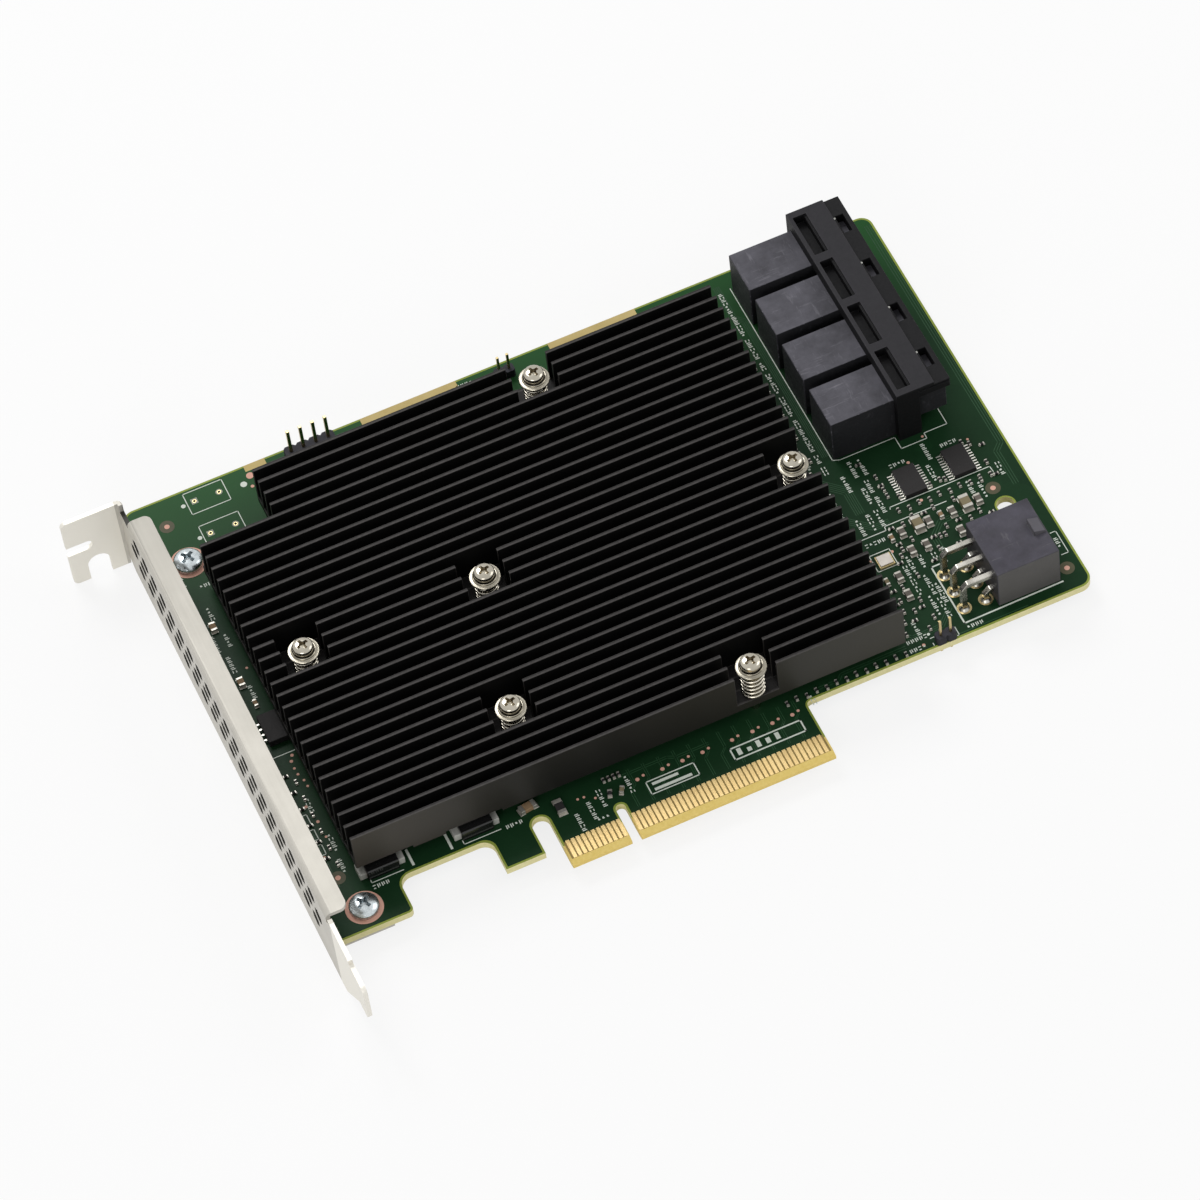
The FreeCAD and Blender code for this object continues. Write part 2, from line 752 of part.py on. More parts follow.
def make_bracket_screw():
    """A pan-head screw with a cross recess; its head seats at Z = 0, and its shank passes board and ear."""
    body = new_body("bracket_screw")
    half = new_sketch(body, "bracket_screw_profile", "XZ_Plane")
    draw_outline(half, [
        ("0", "-bracket_screw_length"),
        ("bracket_screw_radius", "-bracket_screw_length"),
        ("bracket_screw_radius", "0"),
        ("bracket_head_radius", "0"),
        ("bracket_head_radius", "bracket_head_height * 0.55"),
        ("bracket_head_radius * 0.72", "bracket_head_height"),
        ("0", "bracket_head_height"),
    ])
    turn = body.newObject("PartDesign::Revolution", "bracket_screw_turn")
    turn.Profile = half
    turn.ReferenceAxis = (half, ["V_Axis"])
    turn.Angle = 360
    doc.recompute()
    recess = new_sketch(body, "bracket_screw_recess", level="bracket_head_height")
    arm, width = "bracket_head_radius * 0.55", "bracket_head_radius * 0.14"
    draw_outline(recess, [
        (f"-{arm}", f"-{width}"), (f"-{width}", f"-{width}"), (f"-{width}", f"-{arm}"), (width, f"-{arm}"),
        (width, f"-{width}"), (arm, f"-{width}"), (arm, width), (width, width),
        (width, arm), (f"-{width}", arm), (f"-{width}", width), (f"-{arm}", width),
    ])
    pocket(body, recess, "bracket_head_height * 0.6")
    return body


def make_spring_screw():
    """A shouldered screw; its head seats on the collar at Z = 0 and its long shank ends flush with the nut.

    The shank is eight-sided, and so is every bore that it passes, wider by a clearance across the flats.
    """
    body = new_body("spring_screw")
    head = new_sketch(body, "spring_screw_head")
    draw_circle(head, "0", "0", "spring_head_radius")
    pad(body, head, "spring_head_height")
    shank = new_sketch(body, "spring_screw_shank")
    draw_regular(shank, "0", "0", "2 * spring_screw_radius", 8)
    pad(body, shank, "head_seat + board_thick + nut_height", reverse=True)
    return body


def make_heat_sink():
    body = new_body("heat_sink")
    base = new_sketch(body, "sink_base_outline", level="sink_gap")
    cut_back = "sink_rear - (corner_cut_rows - 0.5) * fin_pitch - fin_thick / 2"
    draw_outline(base, [
        ("sink_left", "sink_front"),
        ("sink_right", "sink_front"),
        ("sink_right", "sink_rear"),
        ("sink_left + corner_cut_length", "sink_rear"),
        ("sink_left + corner_cut_length", cut_back),
        ("sink_left", cut_back),
    ])
    pad(body, base, "sink_base")
    long_fin = new_sketch(body, "long_fin", level="sink_floor")
    draw_rectangle(long_fin, "sink_left", "fin_first - fin_thick / 2",
                   "sink_right", "fin_first + fin_thick / 2")
    pattern(body, pad(body, long_fin, "fin_height"), "Y_Axis", "fin_pitch", "fin_count - corner_cut_rows")
    short_fin = new_sketch(body, "short_fin", level="sink_floor")
    start = "fin_first + (fin_count - corner_cut_rows) * fin_pitch"
    draw_rectangle(short_fin, "sink_left + corner_cut_length", f"{start} - fin_thick / 2",
                   "sink_right", f"{start} + fin_thick / 2")
    pattern(body, pad(body, short_fin, "fin_height"), "Y_Axis", "fin_pitch", "corner_cut_rows")
    pockets = new_sketch(body, "screw_pockets", level="sink_top")
    for (x, _), (place, row) in zip(screw_centres(), screw_places):
        middle = f"fin_first + {row} * fin_pitch"
        left, right = f"{place} - pocket_width / 2", f"{place} + pocket_width / 2"
        if value(right) > value("sink_right - fin_pitch"):
            right = "sink_right"
        draw_rectangle(pockets, left, f"{middle} - pocket_rows * fin_pitch / 2",
                       right, f"{middle} + pocket_rows * fin_pitch / 2")
    pocket(body, pockets, "fin_height")
    # the base is relieved from below over each moulded capacitor
    reliefs = new_sketch(body, "capacitor_reliefs", level="sink_gap")
    inner_end = "moulded_y + moulded_width / 2 + moulded_clearance"
    draw_rectangle(reliefs, "moulded_x - capacitor_relief_length / 2", "sink_front",
                   "moulded_x + capacitor_relief_length / 2", inner_end)
    pattern(body, pocket(body, reliefs, "capacitor_relief", reverse=True), "X_Axis", "moulded_spacing", "2")
    holes = new_sketch(body, "sink_holes", level="sink_floor")
    for x, y in screw_centres():
        draw_regular(holes, x, y, "2 * spring_screw_hole", 8)
    pocket(body, holes, "sink_base")
    return body


def make_collar():
    """Flanged collar between a screw's head and its spring."""
    body = new_body("collar")
    flange = new_sketch(body, "collar_flange")
    draw_circle(flange, "0", "0", "collar_radius")
    draw_regular(flange, "0", "0", "2 * (spring_screw_radius + thread_clearance)", 8)
    pad(body, flange, "collar_thick")
    lip = new_sketch(body, "collar_lip_ring", level="collar_thick")
    draw_regular(lip, "0", "0", "2 * collar_lip_radius", 8)
    draw_regular(lip, "0", "0", "2 * (spring_screw_radius + thread_clearance)", 8)
    pad(body, lip, "collar_lip")
    return body


def make_spring():
    """Compression spring round the screw's shank, from the heat sink to the collar.

    The square wire is bent in eight straight lengths to the turn. The first and last half turns lie flat,
    which gives the spring its closed ends.
    """
    radius, half_wire = value("spring_radius"), value("spring_wire") / 2
    turns, height = value("spring_turns"), value("spring_height")
    lengths = 8 * math.floor(turns + 0.5)
    points = []
    for number in range(lengths + 1):
        turned_by = number / 8
        climb = min(max((turned_by - 0.5) / (lengths / 8 - 1), 0), 1)
        angle = 2 * math.pi * turned_by
        points.append(FreeCAD.Vector(radius * math.cos(angle), radius * math.sin(angle),
                                     half_wire + climb * (height - 2 * half_wire - value("spring_play"))))
    path = doc.addObject("Part::Polygon", "spring_path")
    path.Nodes = points
    section = doc.addObject("Part::Polygon", "spring_section")
    section.Nodes = [FreeCAD.Vector(x, 0, z) for x, z in (
        (radius - half_wire, 0), (radius + half_wire, 0),
        (radius + half_wire, 2 * half_wire), (radius - half_wire, 2 * half_wire))]
    section.Close = True
    coil = doc.addObject("Part::Sweep", "spring")
    coil.Sections = [section]
    coil.Spine = (path, [])
    coil.Solid = True
    coil.Frenet = False
    coil.Transition = "Right corner"
    doc.recompute()
    return coil


def make_nut():
    body = new_body("nut")
    ring = new_sketch(body, "nut_ring")
    draw_regular(ring, "0", "0", "nut_flats", 6)
    draw_regular(ring, "0", "0", "2 * (spring_screw_radius + thread_clearance)", 8)
    pad(body, ring, "nut_height", reverse=True)
    return body


def make_processor():
    body = new_body("raid_processor")
    substrate = new_sketch(body, "processor_outline")
    draw_centred(substrate, "processor_x", "processor_y", "processor_side", "processor_side")
    pad(body, substrate, "processor_substrate")
    lid = new_sketch(body, "processor_lid", level="processor_substrate")
    draw_centred(lid, "processor_x", "processor_y", "lid_side", "lid_side")
    pad(body, lid, "lid_height")
    return body


def square(name, x, y, side, low, high):
    half = f"({side}) / 2"
    return box(name, (f"{x} - {half}", f"{y} - {half}", low), (f"{x} + {half}", f"{y} + {half}", high))


def make_memory():
    chips, pads = [], []
    for number in range(int(value("memory_count"))):
        y = f"memory_y + {number} * memory_pitch"
        low = ("memory_x - memory_length / 2", f"{y} - memory_width / 2")
        high = ("memory_x + memory_length / 2", f"{y} + memory_width / 2")
        chips.append(box(f"memory_chip_{number + 1}", (*low, "0"), (*high, "memory_height")))
        pads.append(box(f"memory_pad_{number + 1}", (*low, "memory_height"), (*high, "sink_gap")))
    group("memory_chips", chips)
    group("memory_thermal_pads", pads)


def make_port_shell(number):
    """One port's housing: a box on the board whose mouth is raised and opens over the card's end."""
    body = new_body(f"port_shell_{number + 1}")
    middle = f"port_first + {number} * port_pitch"
    low, high = f"{middle} - shell_width / 2", f"{middle} + shell_width / 2"
    side = new_sketch(body, f"shell_side_{number + 1}", "XZ_Plane", f"-({low})")
    draw_outline(side, [
        ("shell_rear", "0"),
        ("shell_front - shell_step_length", "0"),
        ("shell_front - shell_step_length", "shell_step"),
        ("shell_front", "shell_step"),
        ("shell_front", "shell_height"),
        ("shell_rear", "shell_height"),
    ])
    pad(body, side, "shell_width", reverse=True)
    mouth = new_sketch(body, f"port_mouth_{number + 1}", "YZ_Plane", "shell_front")
    draw_rectangle(mouth, f"{low} + shell_wall", "port_middle - port_height / 2",
                   f"{high} - shell_wall", "port_middle + port_height / 2")
    pocket(body, mouth, "port_depth")
    return body


def make_port_contacts():
    """Each port's two rows of contacts, standing out of the back wall of its mouth."""
    rows = []
    for number in range(int(value("port_count"))):
        middle = f"port_first + {number} * port_pitch"
        for side, text in (("low", "-1"), ("high", "1")):
            centre = f"port_middle + ({text}) * (contact_row_gap + contact_row_thick) / 2"
            left, right = f"{middle} - contact_row_width / 2", f"{middle} + contact_row_width / 2"
            floor, roof = f"{centre} - contact_row_thick / 2", f"{centre} + contact_row_thick / 2"
            rows.append(box(
                f"contact_row_{number + 1}_{side}",
                ("shell_front - port_depth", left, floor),
                ("shell_front - port_depth + contact_row_length", right, roof),
            ))
    return group("port_contacts", rows)


def make_bezel():
    """The cover over the four ports: a top plate with a leg down to the board at each end."""
    body = new_body("port_bezel")
    low, high = "shell_low - bezel_clearance", "shell_high + bezel_clearance"
    plate = new_sketch(body, "bezel_plate", level="bezel_under")
    draw_rectangle(plate, "bezel_rear", f"{low} - bezel_wall", "bezel_front", f"{high} + bezel_wall")
    pad(body, plate, "bezel_thick")
    legs = new_sketch(body, "bezel_legs")
    draw_rectangle(legs, "bezel_rear", f"{low} - bezel_wall", "bezel_rear + bezel_leg", low)
    draw_rectangle(legs, "bezel_rear", high, "bezel_rear + bezel_leg", f"{high} + bezel_wall")
    pad(body, legs, "bezel_under")
    step = new_sketch(body, "bezel_front_step", level="bezel_top")
    draw_rectangle(step, "bezel_front - bezel_step_length", f"{low} - bezel_wall",
                   "bezel_front", f"{high} + bezel_wall")
    pocket(body, step, "bezel_step")
    window = new_sketch(body, "bezel_window", level="bezel_top")
    draw_rectangle(window, "bezel_rear + window_inset", "port_first - window_width / 2",
                   "bezel_rear + window_inset + window_length", "port_first + window_width / 2")
    pattern(body, pocket(body, window, "window_depth"), "Y_Axis", "port_pitch", "port_count")
    ledge = new_sketch(body, "bezel_window_ledge", level="bezel_top")
    draw_rectangle(ledge, "bezel_rear + window_inset + window_length / 2", "port_first - window_width / 2",
                   "bezel_rear + window_inset + window_length + window_ledge",
                   "port_first + window_width / 2")
    pattern(body, pocket(body, ledge, "window_ledge_depth"), "Y_Axis", "port_pitch", "port_count")
    latch = new_sketch(body, "bezel_latch", level="bezel_top")
    draw_rectangle(latch, "bezel_front - latch_inset - latch_length", "port_first - latch_width / 2",
                   "bezel_front - latch_inset", "port_first + latch_width / 2")
    pattern(body, pocket(body, latch, "bezel_thick"), "Y_Axis", "port_pitch", "port_count")
    grooves = new_sketch(body, "bezel_end_grooves", "YZ_Plane", "bezel_front")
    floor, roof = "bezel_top - bezel_groove_drop - bezel_groove", "bezel_top - bezel_groove_drop"
    draw_rectangle(grooves, f"{low} - bezel_wall", floor, f"{low} - bezel_wall + bezel_groove", roof)
    draw_rectangle(grooves, f"{high} + bezel_wall - bezel_groove", floor, f"{high} + bezel_wall", roof)
    pocket(body, grooves, "bezel_length - bezel_leg")
    return body


def make_inlet():
    """The power inlet's housing: two rows of three square cells behind its mouth, a latch ramp on top."""
    body = new_body("power_housing")
    block = new_sketch(body, "inlet_block")
    draw_rectangle(block, "inlet_rear", "inlet_low", "inlet_front", "inlet_low + inlet_width")
    pad(body, block, "inlet_height")
    ramp = new_sketch(body, "inlet_ramp", "XZ_Plane", "-(inlet_middle - latch_ramp_width / 2)")
    draw_outline(ramp, [
        ("inlet_front - latch_ramp_inset - latch_ramp_length", "inlet_height"),
        ("inlet_front - latch_ramp_inset", "inlet_height"),
        ("inlet_front - latch_ramp_inset", "inlet_height + latch_ramp_lip"),
        ("inlet_front - latch_ramp_inset - latch_ramp_length", "inlet_height + latch_ramp_height"),
    ])
    pad(body, ramp, "latch_ramp_width", reverse=True)
    cells = new_sketch(body, "inlet_cells", "YZ_Plane", "inlet_front")
    first = "inlet_middle - cell_pitch"
    for z in ("cell_row_low", "cell_row_high"):
        draw_centred(cells, first, z, "cell_side", "cell_side")
    pattern(body, pocket(body, cells, "cell_depth"), "Y_Axis", "cell_pitch", "3")
    passages = new_sketch(body, "lead_passages", "YZ_Plane", "inlet_rear")
    for z in ("cell_row_low", "cell_row_high"):
        draw_centred(passages, first, z, "lead_side", "lead_side")
    first_pair = pocket(body, passages, "inlet_length - cell_depth", reverse=True)
    pattern(body, first_pair, "Y_Axis", "cell_pitch", "3")
    return body


def make_leads():
    """The inlet's bent square leads, from the cells back and down through the board."""
    body = new_body("power_leads")
    first = "inlet_middle - cell_pitch - lead_side / 2"
    for row, z in (("low", "cell_row_low"), ("high", "cell_row_high")):
        reach = f"lead_{row}_reach"
        side = new_sketch(body, f"lead_{row}", "XZ_Plane", f"-({first})")
        far, near = f"inlet_rear - {reach} - lead_side / 2", f"inlet_rear - {reach} + lead_side / 2"
        draw_outline(side, [
            (far, "-board_thick - lead_tail"),
            (near, "-board_thick - lead_tail"),
            (near, f"{z} - lead_side / 2"),
            ("inlet_front - lead_tip_inset", f"{z} - lead_side / 2"),
            ("inlet_front - lead_tip_inset", f"{z} + lead_side / 2"),
            (f"{far} + lead_bend", f"{z} + lead_side / 2"),
            (far, f"{z} + lead_side / 2 - lead_bend"),
        ])
        pattern(body, pad(body, side, "lead_side", reverse=True), "Y_Axis", "cell_pitch", "3")
    return body


def make_headers():
    """Three pin headers: moulded bases on the board and the pins through them."""
    bases = []
    for name, x, y, _, pitch, count in pin_rows:
        side = "header_side" if name == "header" else "jumper_side"
        far = f"{x} + ({count} - 0.5) * {pitch}"
        bases.append(box(f"{name}_block", (f"{x} - {side} / 2", f"{y} - {side} / 2", "0"),
                         (far, f"{y} + {side} / 2", side)))
    pins, bores = [], []
    for number, (x, y, side) in enumerate(header_pins(), 1):
        pins.append(square(f"header_pin_{number}", x, y, side, "-board_thick - lead_tail", f"{side}_top"))
        bores.append(square(f"pin_bore_{number}", x, y, side, "0", "header_side"))
    housings = group("header_blocks_solid", bases)
    cut = doc.addObject("Part::Cut", "header_bases")
    cut.Base, cut.Tool = housings, group("pin_bores", bores)
    cut.Label = "header_bases"
    group("header_pins", pins)
    return cut


def make_small_chip(name, x, y):
    """A moulded chip with gull-wing leads along both of its long sides."""
    body = new_body(name)
    outline = new_sketch(body, f"{name}_outline", level="chip_lead_thick")
    draw_centred(outline, x, y, "chip_width", "chip_length")
    pad(body, outline, "chip_height")
    leads = new_body(f"{name}_leads")
    first = f"{y} - (chip_lead_count - 1) * chip_lead_pitch / 2 - chip_lead_width / 2"
    profile = new_sketch(leads, f"{name}_lead", "XZ_Plane", f"-({first})")
    shoulder = "chip_lead_thick + chip_height / 2"
    # each lead comes down beside the moulding and turns out along the board
    for side in ("-1", "1"):
        draw_outline(profile, [
            (f"{x} + ({side}) * chip_span / 2", "0"),
            (f"{x} + ({side}) * chip_width / 2", "0"),
            (f"{x} + ({side}) * chip_width / 2", shoulder),
            (f"{x} + ({side}) * (chip_width / 2 + chip_lead_thick)", shoulder),
            (f"{x} + ({side}) * (chip_width / 2 + chip_lead_thick)", "chip_lead_thick"),
            (f"{x} + ({side}) * chip_span / 2", "chip_lead_thick"),
        ])
    first_pair = pad(leads, profile, "chip_lead_width", reverse=True)
    pattern(leads, first_pair, "Y_Axis", "chip_lead_pitch", "chip_lead_count")
    return body


def make_ceramics():
    """Ceramic capacitors, each a block on the component face."""
    places = []
    for case, x, y in service_capacitors:
        places.append((case, f"board_right - {x}", f"service_middle + ({y})", False))
    for case, x, y, flat in bracket_capacitors:
        places.append((case, f"board_left + {x}", str(y), flat))
    blocks = []
    for number, (case, x, y, flat) in enumerate(places, 1):
        length, width = f"{case}_case_length", f"{case}_case_width"
        if not flat:
            length, width = width, length
        blocks.append(box(f"ceramic_{number}", (f"{x} - {length} / 2", f"{y} - {width} / 2", "0"),
                          (f"{x} + {length} / 2", f"{y} + {width} / 2", f"{case}_case_height")))
    return group("ceramic_capacitors", blocks)


def make_moulded():
    """Two moulded capacitors, low enough to reach under the heat sink, each between two terminals."""
    bodies, ends = [], []
    for number in range(2):
        x = f"moulded_x + {number} * moulded_spacing"
        low, high = f"{x} - moulded_length / 2", f"{x} + moulded_length / 2"
        bodies.append(box(f"moulded_{number + 1}", (low, "moulded_y - moulded_width / 2", "0"),
                          (high, "moulded_y + moulded_width / 2", "sink_gap - moulded_clearance")))
        outer_low, outer_high = f"{low} - moulded_terminal", f"{high} + moulded_terminal"
        for side, start, end in (("left", outer_low, low), ("right", high, outer_high)):
            ends.append(box(f"terminal_{number + 1}_{side}", (start, "moulded_y - moulded_width / 3", "0"),
                            (end, "moulded_y + moulded_width / 3", "sink_gap / 2")))
    group("moulded_capacitors", bodies)
    group("capacitor_terminals", ends)


# ---------------------------------------------------------------- the card
make_board()
make_contacts("edge_contacts_front", "0", "contact_thick")
make_contacts("edge_contacts_rear", "-board_thick - contact_thick", "-board_thick")
make_bracket()
copies("bracket_screws", make_bracket_screw(), [
    ("bracket_screw_place", "bracket_screw_low", "0"),
    ("bracket_screw_place", "bracket_screw_high", "0"),
])
make_heat_sink()
copies("spring_screws", make_spring_screw(), [(x, y, "head_seat") for x, y in screw_centres()])
copies("spring_collars", make_collar(), [(x, y, "collar_seat") for x, y in screw_centres()])
copies("heat_sink_springs", make_spring(), [(x, y, "sink_floor") for x, y in screw_centres()])
copies("retaining_nuts", make_nut(), [(x, y, "-board_thick") for x, y in screw_centres()])
make_processor()
lid_top = "processor_substrate + lid_height"
square("processor_thermal_pad", "processor_x", "processor_y", "lid_side", lid_top, "sink_gap")
make_memory()
for number in range(int(value("port_count"))):
    make_port_shell(number)
make_port_contacts()
make_bezel()
make_inlet()
make_leads()
make_headers()
make_small_chip("interface_chip_1", "board_right - chip_x_margin", "chip_place")
make_small_chip("interface_chip_2", "board_right - chip_x_margin + chip_gap", "chip_place")
box("flash_chip", ("flash_x - flash_width / 2", "flash_y - flash_length / 2", "0"),
    ("flash_x + flash_width / 2", "flash_y + flash_length / 2", "flash_height"))
crystal_x, crystal_y = "board_right - crystal_x_margin", "service_middle - crystal_drop"
box("crystal", (f"{crystal_x} - crystal_length / 2", f"{crystal_y} - crystal_width / 2", "0"),
    (f"{crystal_x} + crystal_length / 2", f"{crystal_y} + crystal_width / 2", "crystal_height"))
make_ceramics()
make_moulded()

nodes = [
    "circuit_board", "edge_contacts_front", "edge_contacts_rear", "slot_bracket", "bracket_screws",
    "heat_sink",
    "spring_screws", "spring_collars", "heat_sink_springs", "retaining_nuts", "raid_processor",
    "processor_thermal_pad", "memory_chips", "memory_thermal_pads", "port_shell_1", "port_shell_2",
    "port_shell_3", "port_shell_4", "port_contacts", "port_bezel", "power_housing", "power_leads",
    "header_bases", "header_pins", "interface_chip_1", "interface_chip_1_leads", "interface_chip_2",
    "interface_chip_2_leads", "flash_chip", "crystal", "ceramic_capacitors", "moulded_capacitors",
    "capacitor_terminals",
]

doc.recompute()
for item in doc.Objects:
    if "Invalid" in item.State or "Error" in item.State:
        raise RuntimeError(f"{item.Name} did not compute: {item.State}")
os.makedirs("parts", exist_ok=True)
for name in nodes:
    part = doc.getObjectsByLabel(name)[0]
    if part.Shape.isNull() or not part.Shape.isValid():
        raise RuntimeError(f"{name} has no valid shape")
    part.Shape.exportStep(f"parts/{name}.step")
    print(f"{name}: {len(part.Shape.Solids)} solids, {part.Shape.Volume:.1f} mm3")
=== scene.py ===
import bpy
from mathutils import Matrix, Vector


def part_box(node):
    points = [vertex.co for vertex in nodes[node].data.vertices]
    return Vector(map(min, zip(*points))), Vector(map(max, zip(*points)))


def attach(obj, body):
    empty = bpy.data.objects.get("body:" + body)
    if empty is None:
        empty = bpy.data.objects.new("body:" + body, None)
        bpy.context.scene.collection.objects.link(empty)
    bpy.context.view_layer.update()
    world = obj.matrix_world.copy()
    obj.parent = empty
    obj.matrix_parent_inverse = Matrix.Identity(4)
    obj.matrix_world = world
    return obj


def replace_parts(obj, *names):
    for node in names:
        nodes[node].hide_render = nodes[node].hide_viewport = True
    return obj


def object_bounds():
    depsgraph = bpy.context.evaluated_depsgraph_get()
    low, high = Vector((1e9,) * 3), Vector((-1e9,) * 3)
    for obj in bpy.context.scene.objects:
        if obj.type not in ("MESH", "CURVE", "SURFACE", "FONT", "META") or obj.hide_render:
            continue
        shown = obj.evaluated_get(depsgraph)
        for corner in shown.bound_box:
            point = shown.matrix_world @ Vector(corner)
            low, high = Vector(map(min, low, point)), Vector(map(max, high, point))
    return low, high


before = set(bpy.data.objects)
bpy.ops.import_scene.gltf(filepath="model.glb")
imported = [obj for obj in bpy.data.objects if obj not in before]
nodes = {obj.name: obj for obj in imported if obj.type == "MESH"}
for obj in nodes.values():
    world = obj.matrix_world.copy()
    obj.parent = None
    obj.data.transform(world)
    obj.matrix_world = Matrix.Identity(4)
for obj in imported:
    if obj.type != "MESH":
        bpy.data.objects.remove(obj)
cadBox = [list(corner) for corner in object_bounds()]

import math
import random

import bmesh
import bpy
from mathutils import Euler, Matrix, Vector

mm = 0.001
scene = bpy.context.scene
boardLow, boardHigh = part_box("circuit_board")
random.seed(7)


# shader helpers

def feed(tree, item, socket):
    if isinstance(item, bpy.types.NodeSocket):
        tree.links.new(item, socket)
    else:
        socket.default_value = (*item, 1.0) if socket.type == "RGBA" else item


# a node with its settings, its inputs fed by values or by other nodes
def addNode(tree, kind, inputs=None, **settings):
    node = tree.nodes.new("ShaderNode" + kind)
    for label, value in settings.items():
        setattr(node, label, value)
    for label, item in (inputs or {}).items():
        feed(tree, item, node.inputs[label])
    return node


def addMath(tree, operation, first, second=0.0, clamp=False):
    return addNode(tree, "Math", {0: first, 1: second}, operation=operation, use_clamp=clamp).outputs[0]


def times(tree, first, second, clamp=False):
    return addMath(tree, "MULTIPLY", first, second, clamp)


def addNoise(tree, vector, scale, detail, rough):
    inputs = {"Vector": vector, "Scale": scale, "Detail": detail, "Roughness": rough}
    return addNode(tree, "TexNoise", inputs).outputs["Fac"]


def addStretch(tree, factors):
    return addNode(tree, "Mapping", {"Vector": partPlace(tree), "Scale": factors}).outputs["Vector"]


def mixColours(tree, factor, first, second):
    return addNode(tree, "Mix", {"Factor": factor, 6: first, 7: second}, data_type="RGBA").outputs[2]


def mapRange(tree, source, low, high, start=0.0, end=1.0):
    inputs = {"Value": source, "From Min": start, "From Max": end, "To Min": low, "To Max": high}
    return addNode(tree, "MapRange", inputs).outputs["Result"]


def partPlace(tree):
    return addNode(tree, "TexCoord").outputs["Object"]


def splitAxes(tree, vector):
    return addNode(tree, "SeparateXYZ", {0: vector}).outputs


def faceAxes(tree):
    return splitAxes(tree, addNode(tree, "NewGeometry").outputs["Normal"])


def between(tree, source, low, high):
    return times(tree, addMath(tree, "GREATER_THAN", source, low), addMath(tree, "LESS_THAN", source, high))


def newGroup(name, inputs, output):
    tree = bpy.data.node_groups.new(name, "ShaderNodeTree")
    for label, default in inputs.items():
        socket = tree.interface.new_socket(name=label, in_out="INPUT", socket_type="NodeSocketFloat")
        socket.default_value = default
    tree.interface.new_socket(name=output, in_out="OUTPUT", socket_type="NodeSocketFloat")
    return tree, tree.nodes.new("NodeGroupInput").outputs, tree.nodes.new("NodeGroupOutput").inputs[output]


def useGroup(tree, group, **values):
    return addNode(tree, "Group", values, node_tree=group).outputs[0]


# fine even grain, 0 to 1, with its contrast set by the material
grainTree, given, out = newGroup("fineGrain", {"Scale": 2500.0, "Contrast": 1.0}, "Grain")
fine = addNoise(grainTree, partPlace(grainTree), given["Scale"], 5.0, 0.65)
spread = times(grainTree, addMath(grainTree, "SUBTRACT", fine, 0.5), given["Contrast"])
feed(grainTree, addMath(grainTree, "ADD", spread, 0.5, clamp=True), out)

# rubbed marks: long thin streaks in two directions, more of them as Amount rises
scuff = {"ways": ((1.0, 7.0, 3.0), (6.0, 1.2, 3.0)), "limit": 0.95, "reach": 0.45, "gain": 6.0}
scuffTree, given, out = newGroup("scuffMarks", {"Scale": 350.0, "Amount": 0.3}, "Mask")
streaks = [addNoise(scuffTree, addStretch(scuffTree, way), given["Scale"], 4.0, 0.7) for way in scuff["ways"]]
limit = addMath(scuffTree, "SUBTRACT", scuff["limit"], times(scuffTree, given["Amount"], scuff["reach"]))
over = addMath(scuffTree, "SUBTRACT", addMath(scuffTree, "MAXIMUM", *streaks), limit)
feed(scuffTree, times(scuffTree, over, scuff["gain"], clamp=True), out)

# brushed lines along one axis of the part, fine and even
brushTree, given, out = newGroup("brushedLines", {"Scale": 900.0}, "Lines")
feed(brushTree, addNoise(brushTree, addStretch(brushTree, (6.0, 0.12, 6.0)), given["Scale"], 3.0, 0.6), out)

# faces that look up, for painted light and for rubbing on upper faces; 1 on them, 0 on upright faces
upward = {"from": 0.55, "gain": 3.0}
upTree, given, out = newGroup("upwardFaces", {"Uneven": 0.3, "Scale": 700.0}, "Mask")
level = addMath(upTree, "SUBTRACT", faceAxes(upTree)["Z"], upward["from"])
level = times(upTree, level, upward["gain"], clamp=True)
uneven = addNoise(upTree, partPlace(upTree), given["Scale"], 4.0, 0.6)
kept = addMath(upTree, "SUBTRACT", 1.0, times(upTree, uneven, given["Uneven"]))
feed(upTree, times(upTree, level, kept, clamp=True), out)


# materials

def startMaterial(name, metallic, specular):
    material = bpy.data.materials.new(name)
    material.use_nodes = True
    shader = material.node_tree.nodes["Principled BSDF"]
    shader.inputs["Metallic"].default_value = metallic
    shader.inputs["Specular IOR Level"].default_value = specular
    return material, material.node_tree


# colour, and one mask for both roughness and fine relief
def endMaterial(material, colour, mask, rough, bump, depth=0.00002):
    tree = material.node_tree
    shader = tree.nodes["Principled BSDF"]
    relief = addNode(tree, "Bump", {"Strength": bump, "Distance": depth, "Height": mask})
    feed(tree, colour, shader.inputs["Base Color"])
    feed(tree, mapRange(tree, mask, *rough), shader.inputs["Roughness"])
    feed(tree, relief.outputs["Normal"], shader.inputs["Normal"])
    return material


# moulded plastic: two close tones in broad clouds, a lighter tone on its upper faces as painted light, rubbed marks
# and a fine matt grain; upright faces keep a share of the rubbing
coarser, uprightRub = 12, 0.15


def moulding(name, dark, light, rub, top=None, grain=1800.0, rubScale=260.0, rubAmount=0.4, rough=(0.5, 0.7),
             bump=0.35, specular=0.15, patch=(0.45, 600.0)):
    material, tree = startMaterial(name, 0.0, specular)
    fine = useGroup(tree, grainTree, Scale=grain, Contrast=2.2)
    cloud = useGroup(tree, grainTree, Scale=grain / coarser, Contrast=2.0)
    body = mixColours(tree, cloud, dark, light)
    rubbed = useGroup(tree, scuffTree, Scale=rubScale, Amount=rubAmount)
    if top:
        # painted light: the top tone lightens the upper faces
        raised = useGroup(tree, upTree, Uneven=patch[0], Scale=patch[1])
        body = mixColours(tree, raised, body, top)
        rubbed = times(tree, rubbed, addMath(tree, "ADD", raised, uprightRub, clamp=True))
    return endMaterial(material, mixColours(tree, rubbed, body, rub), fine, rough, bump, 0.00003)


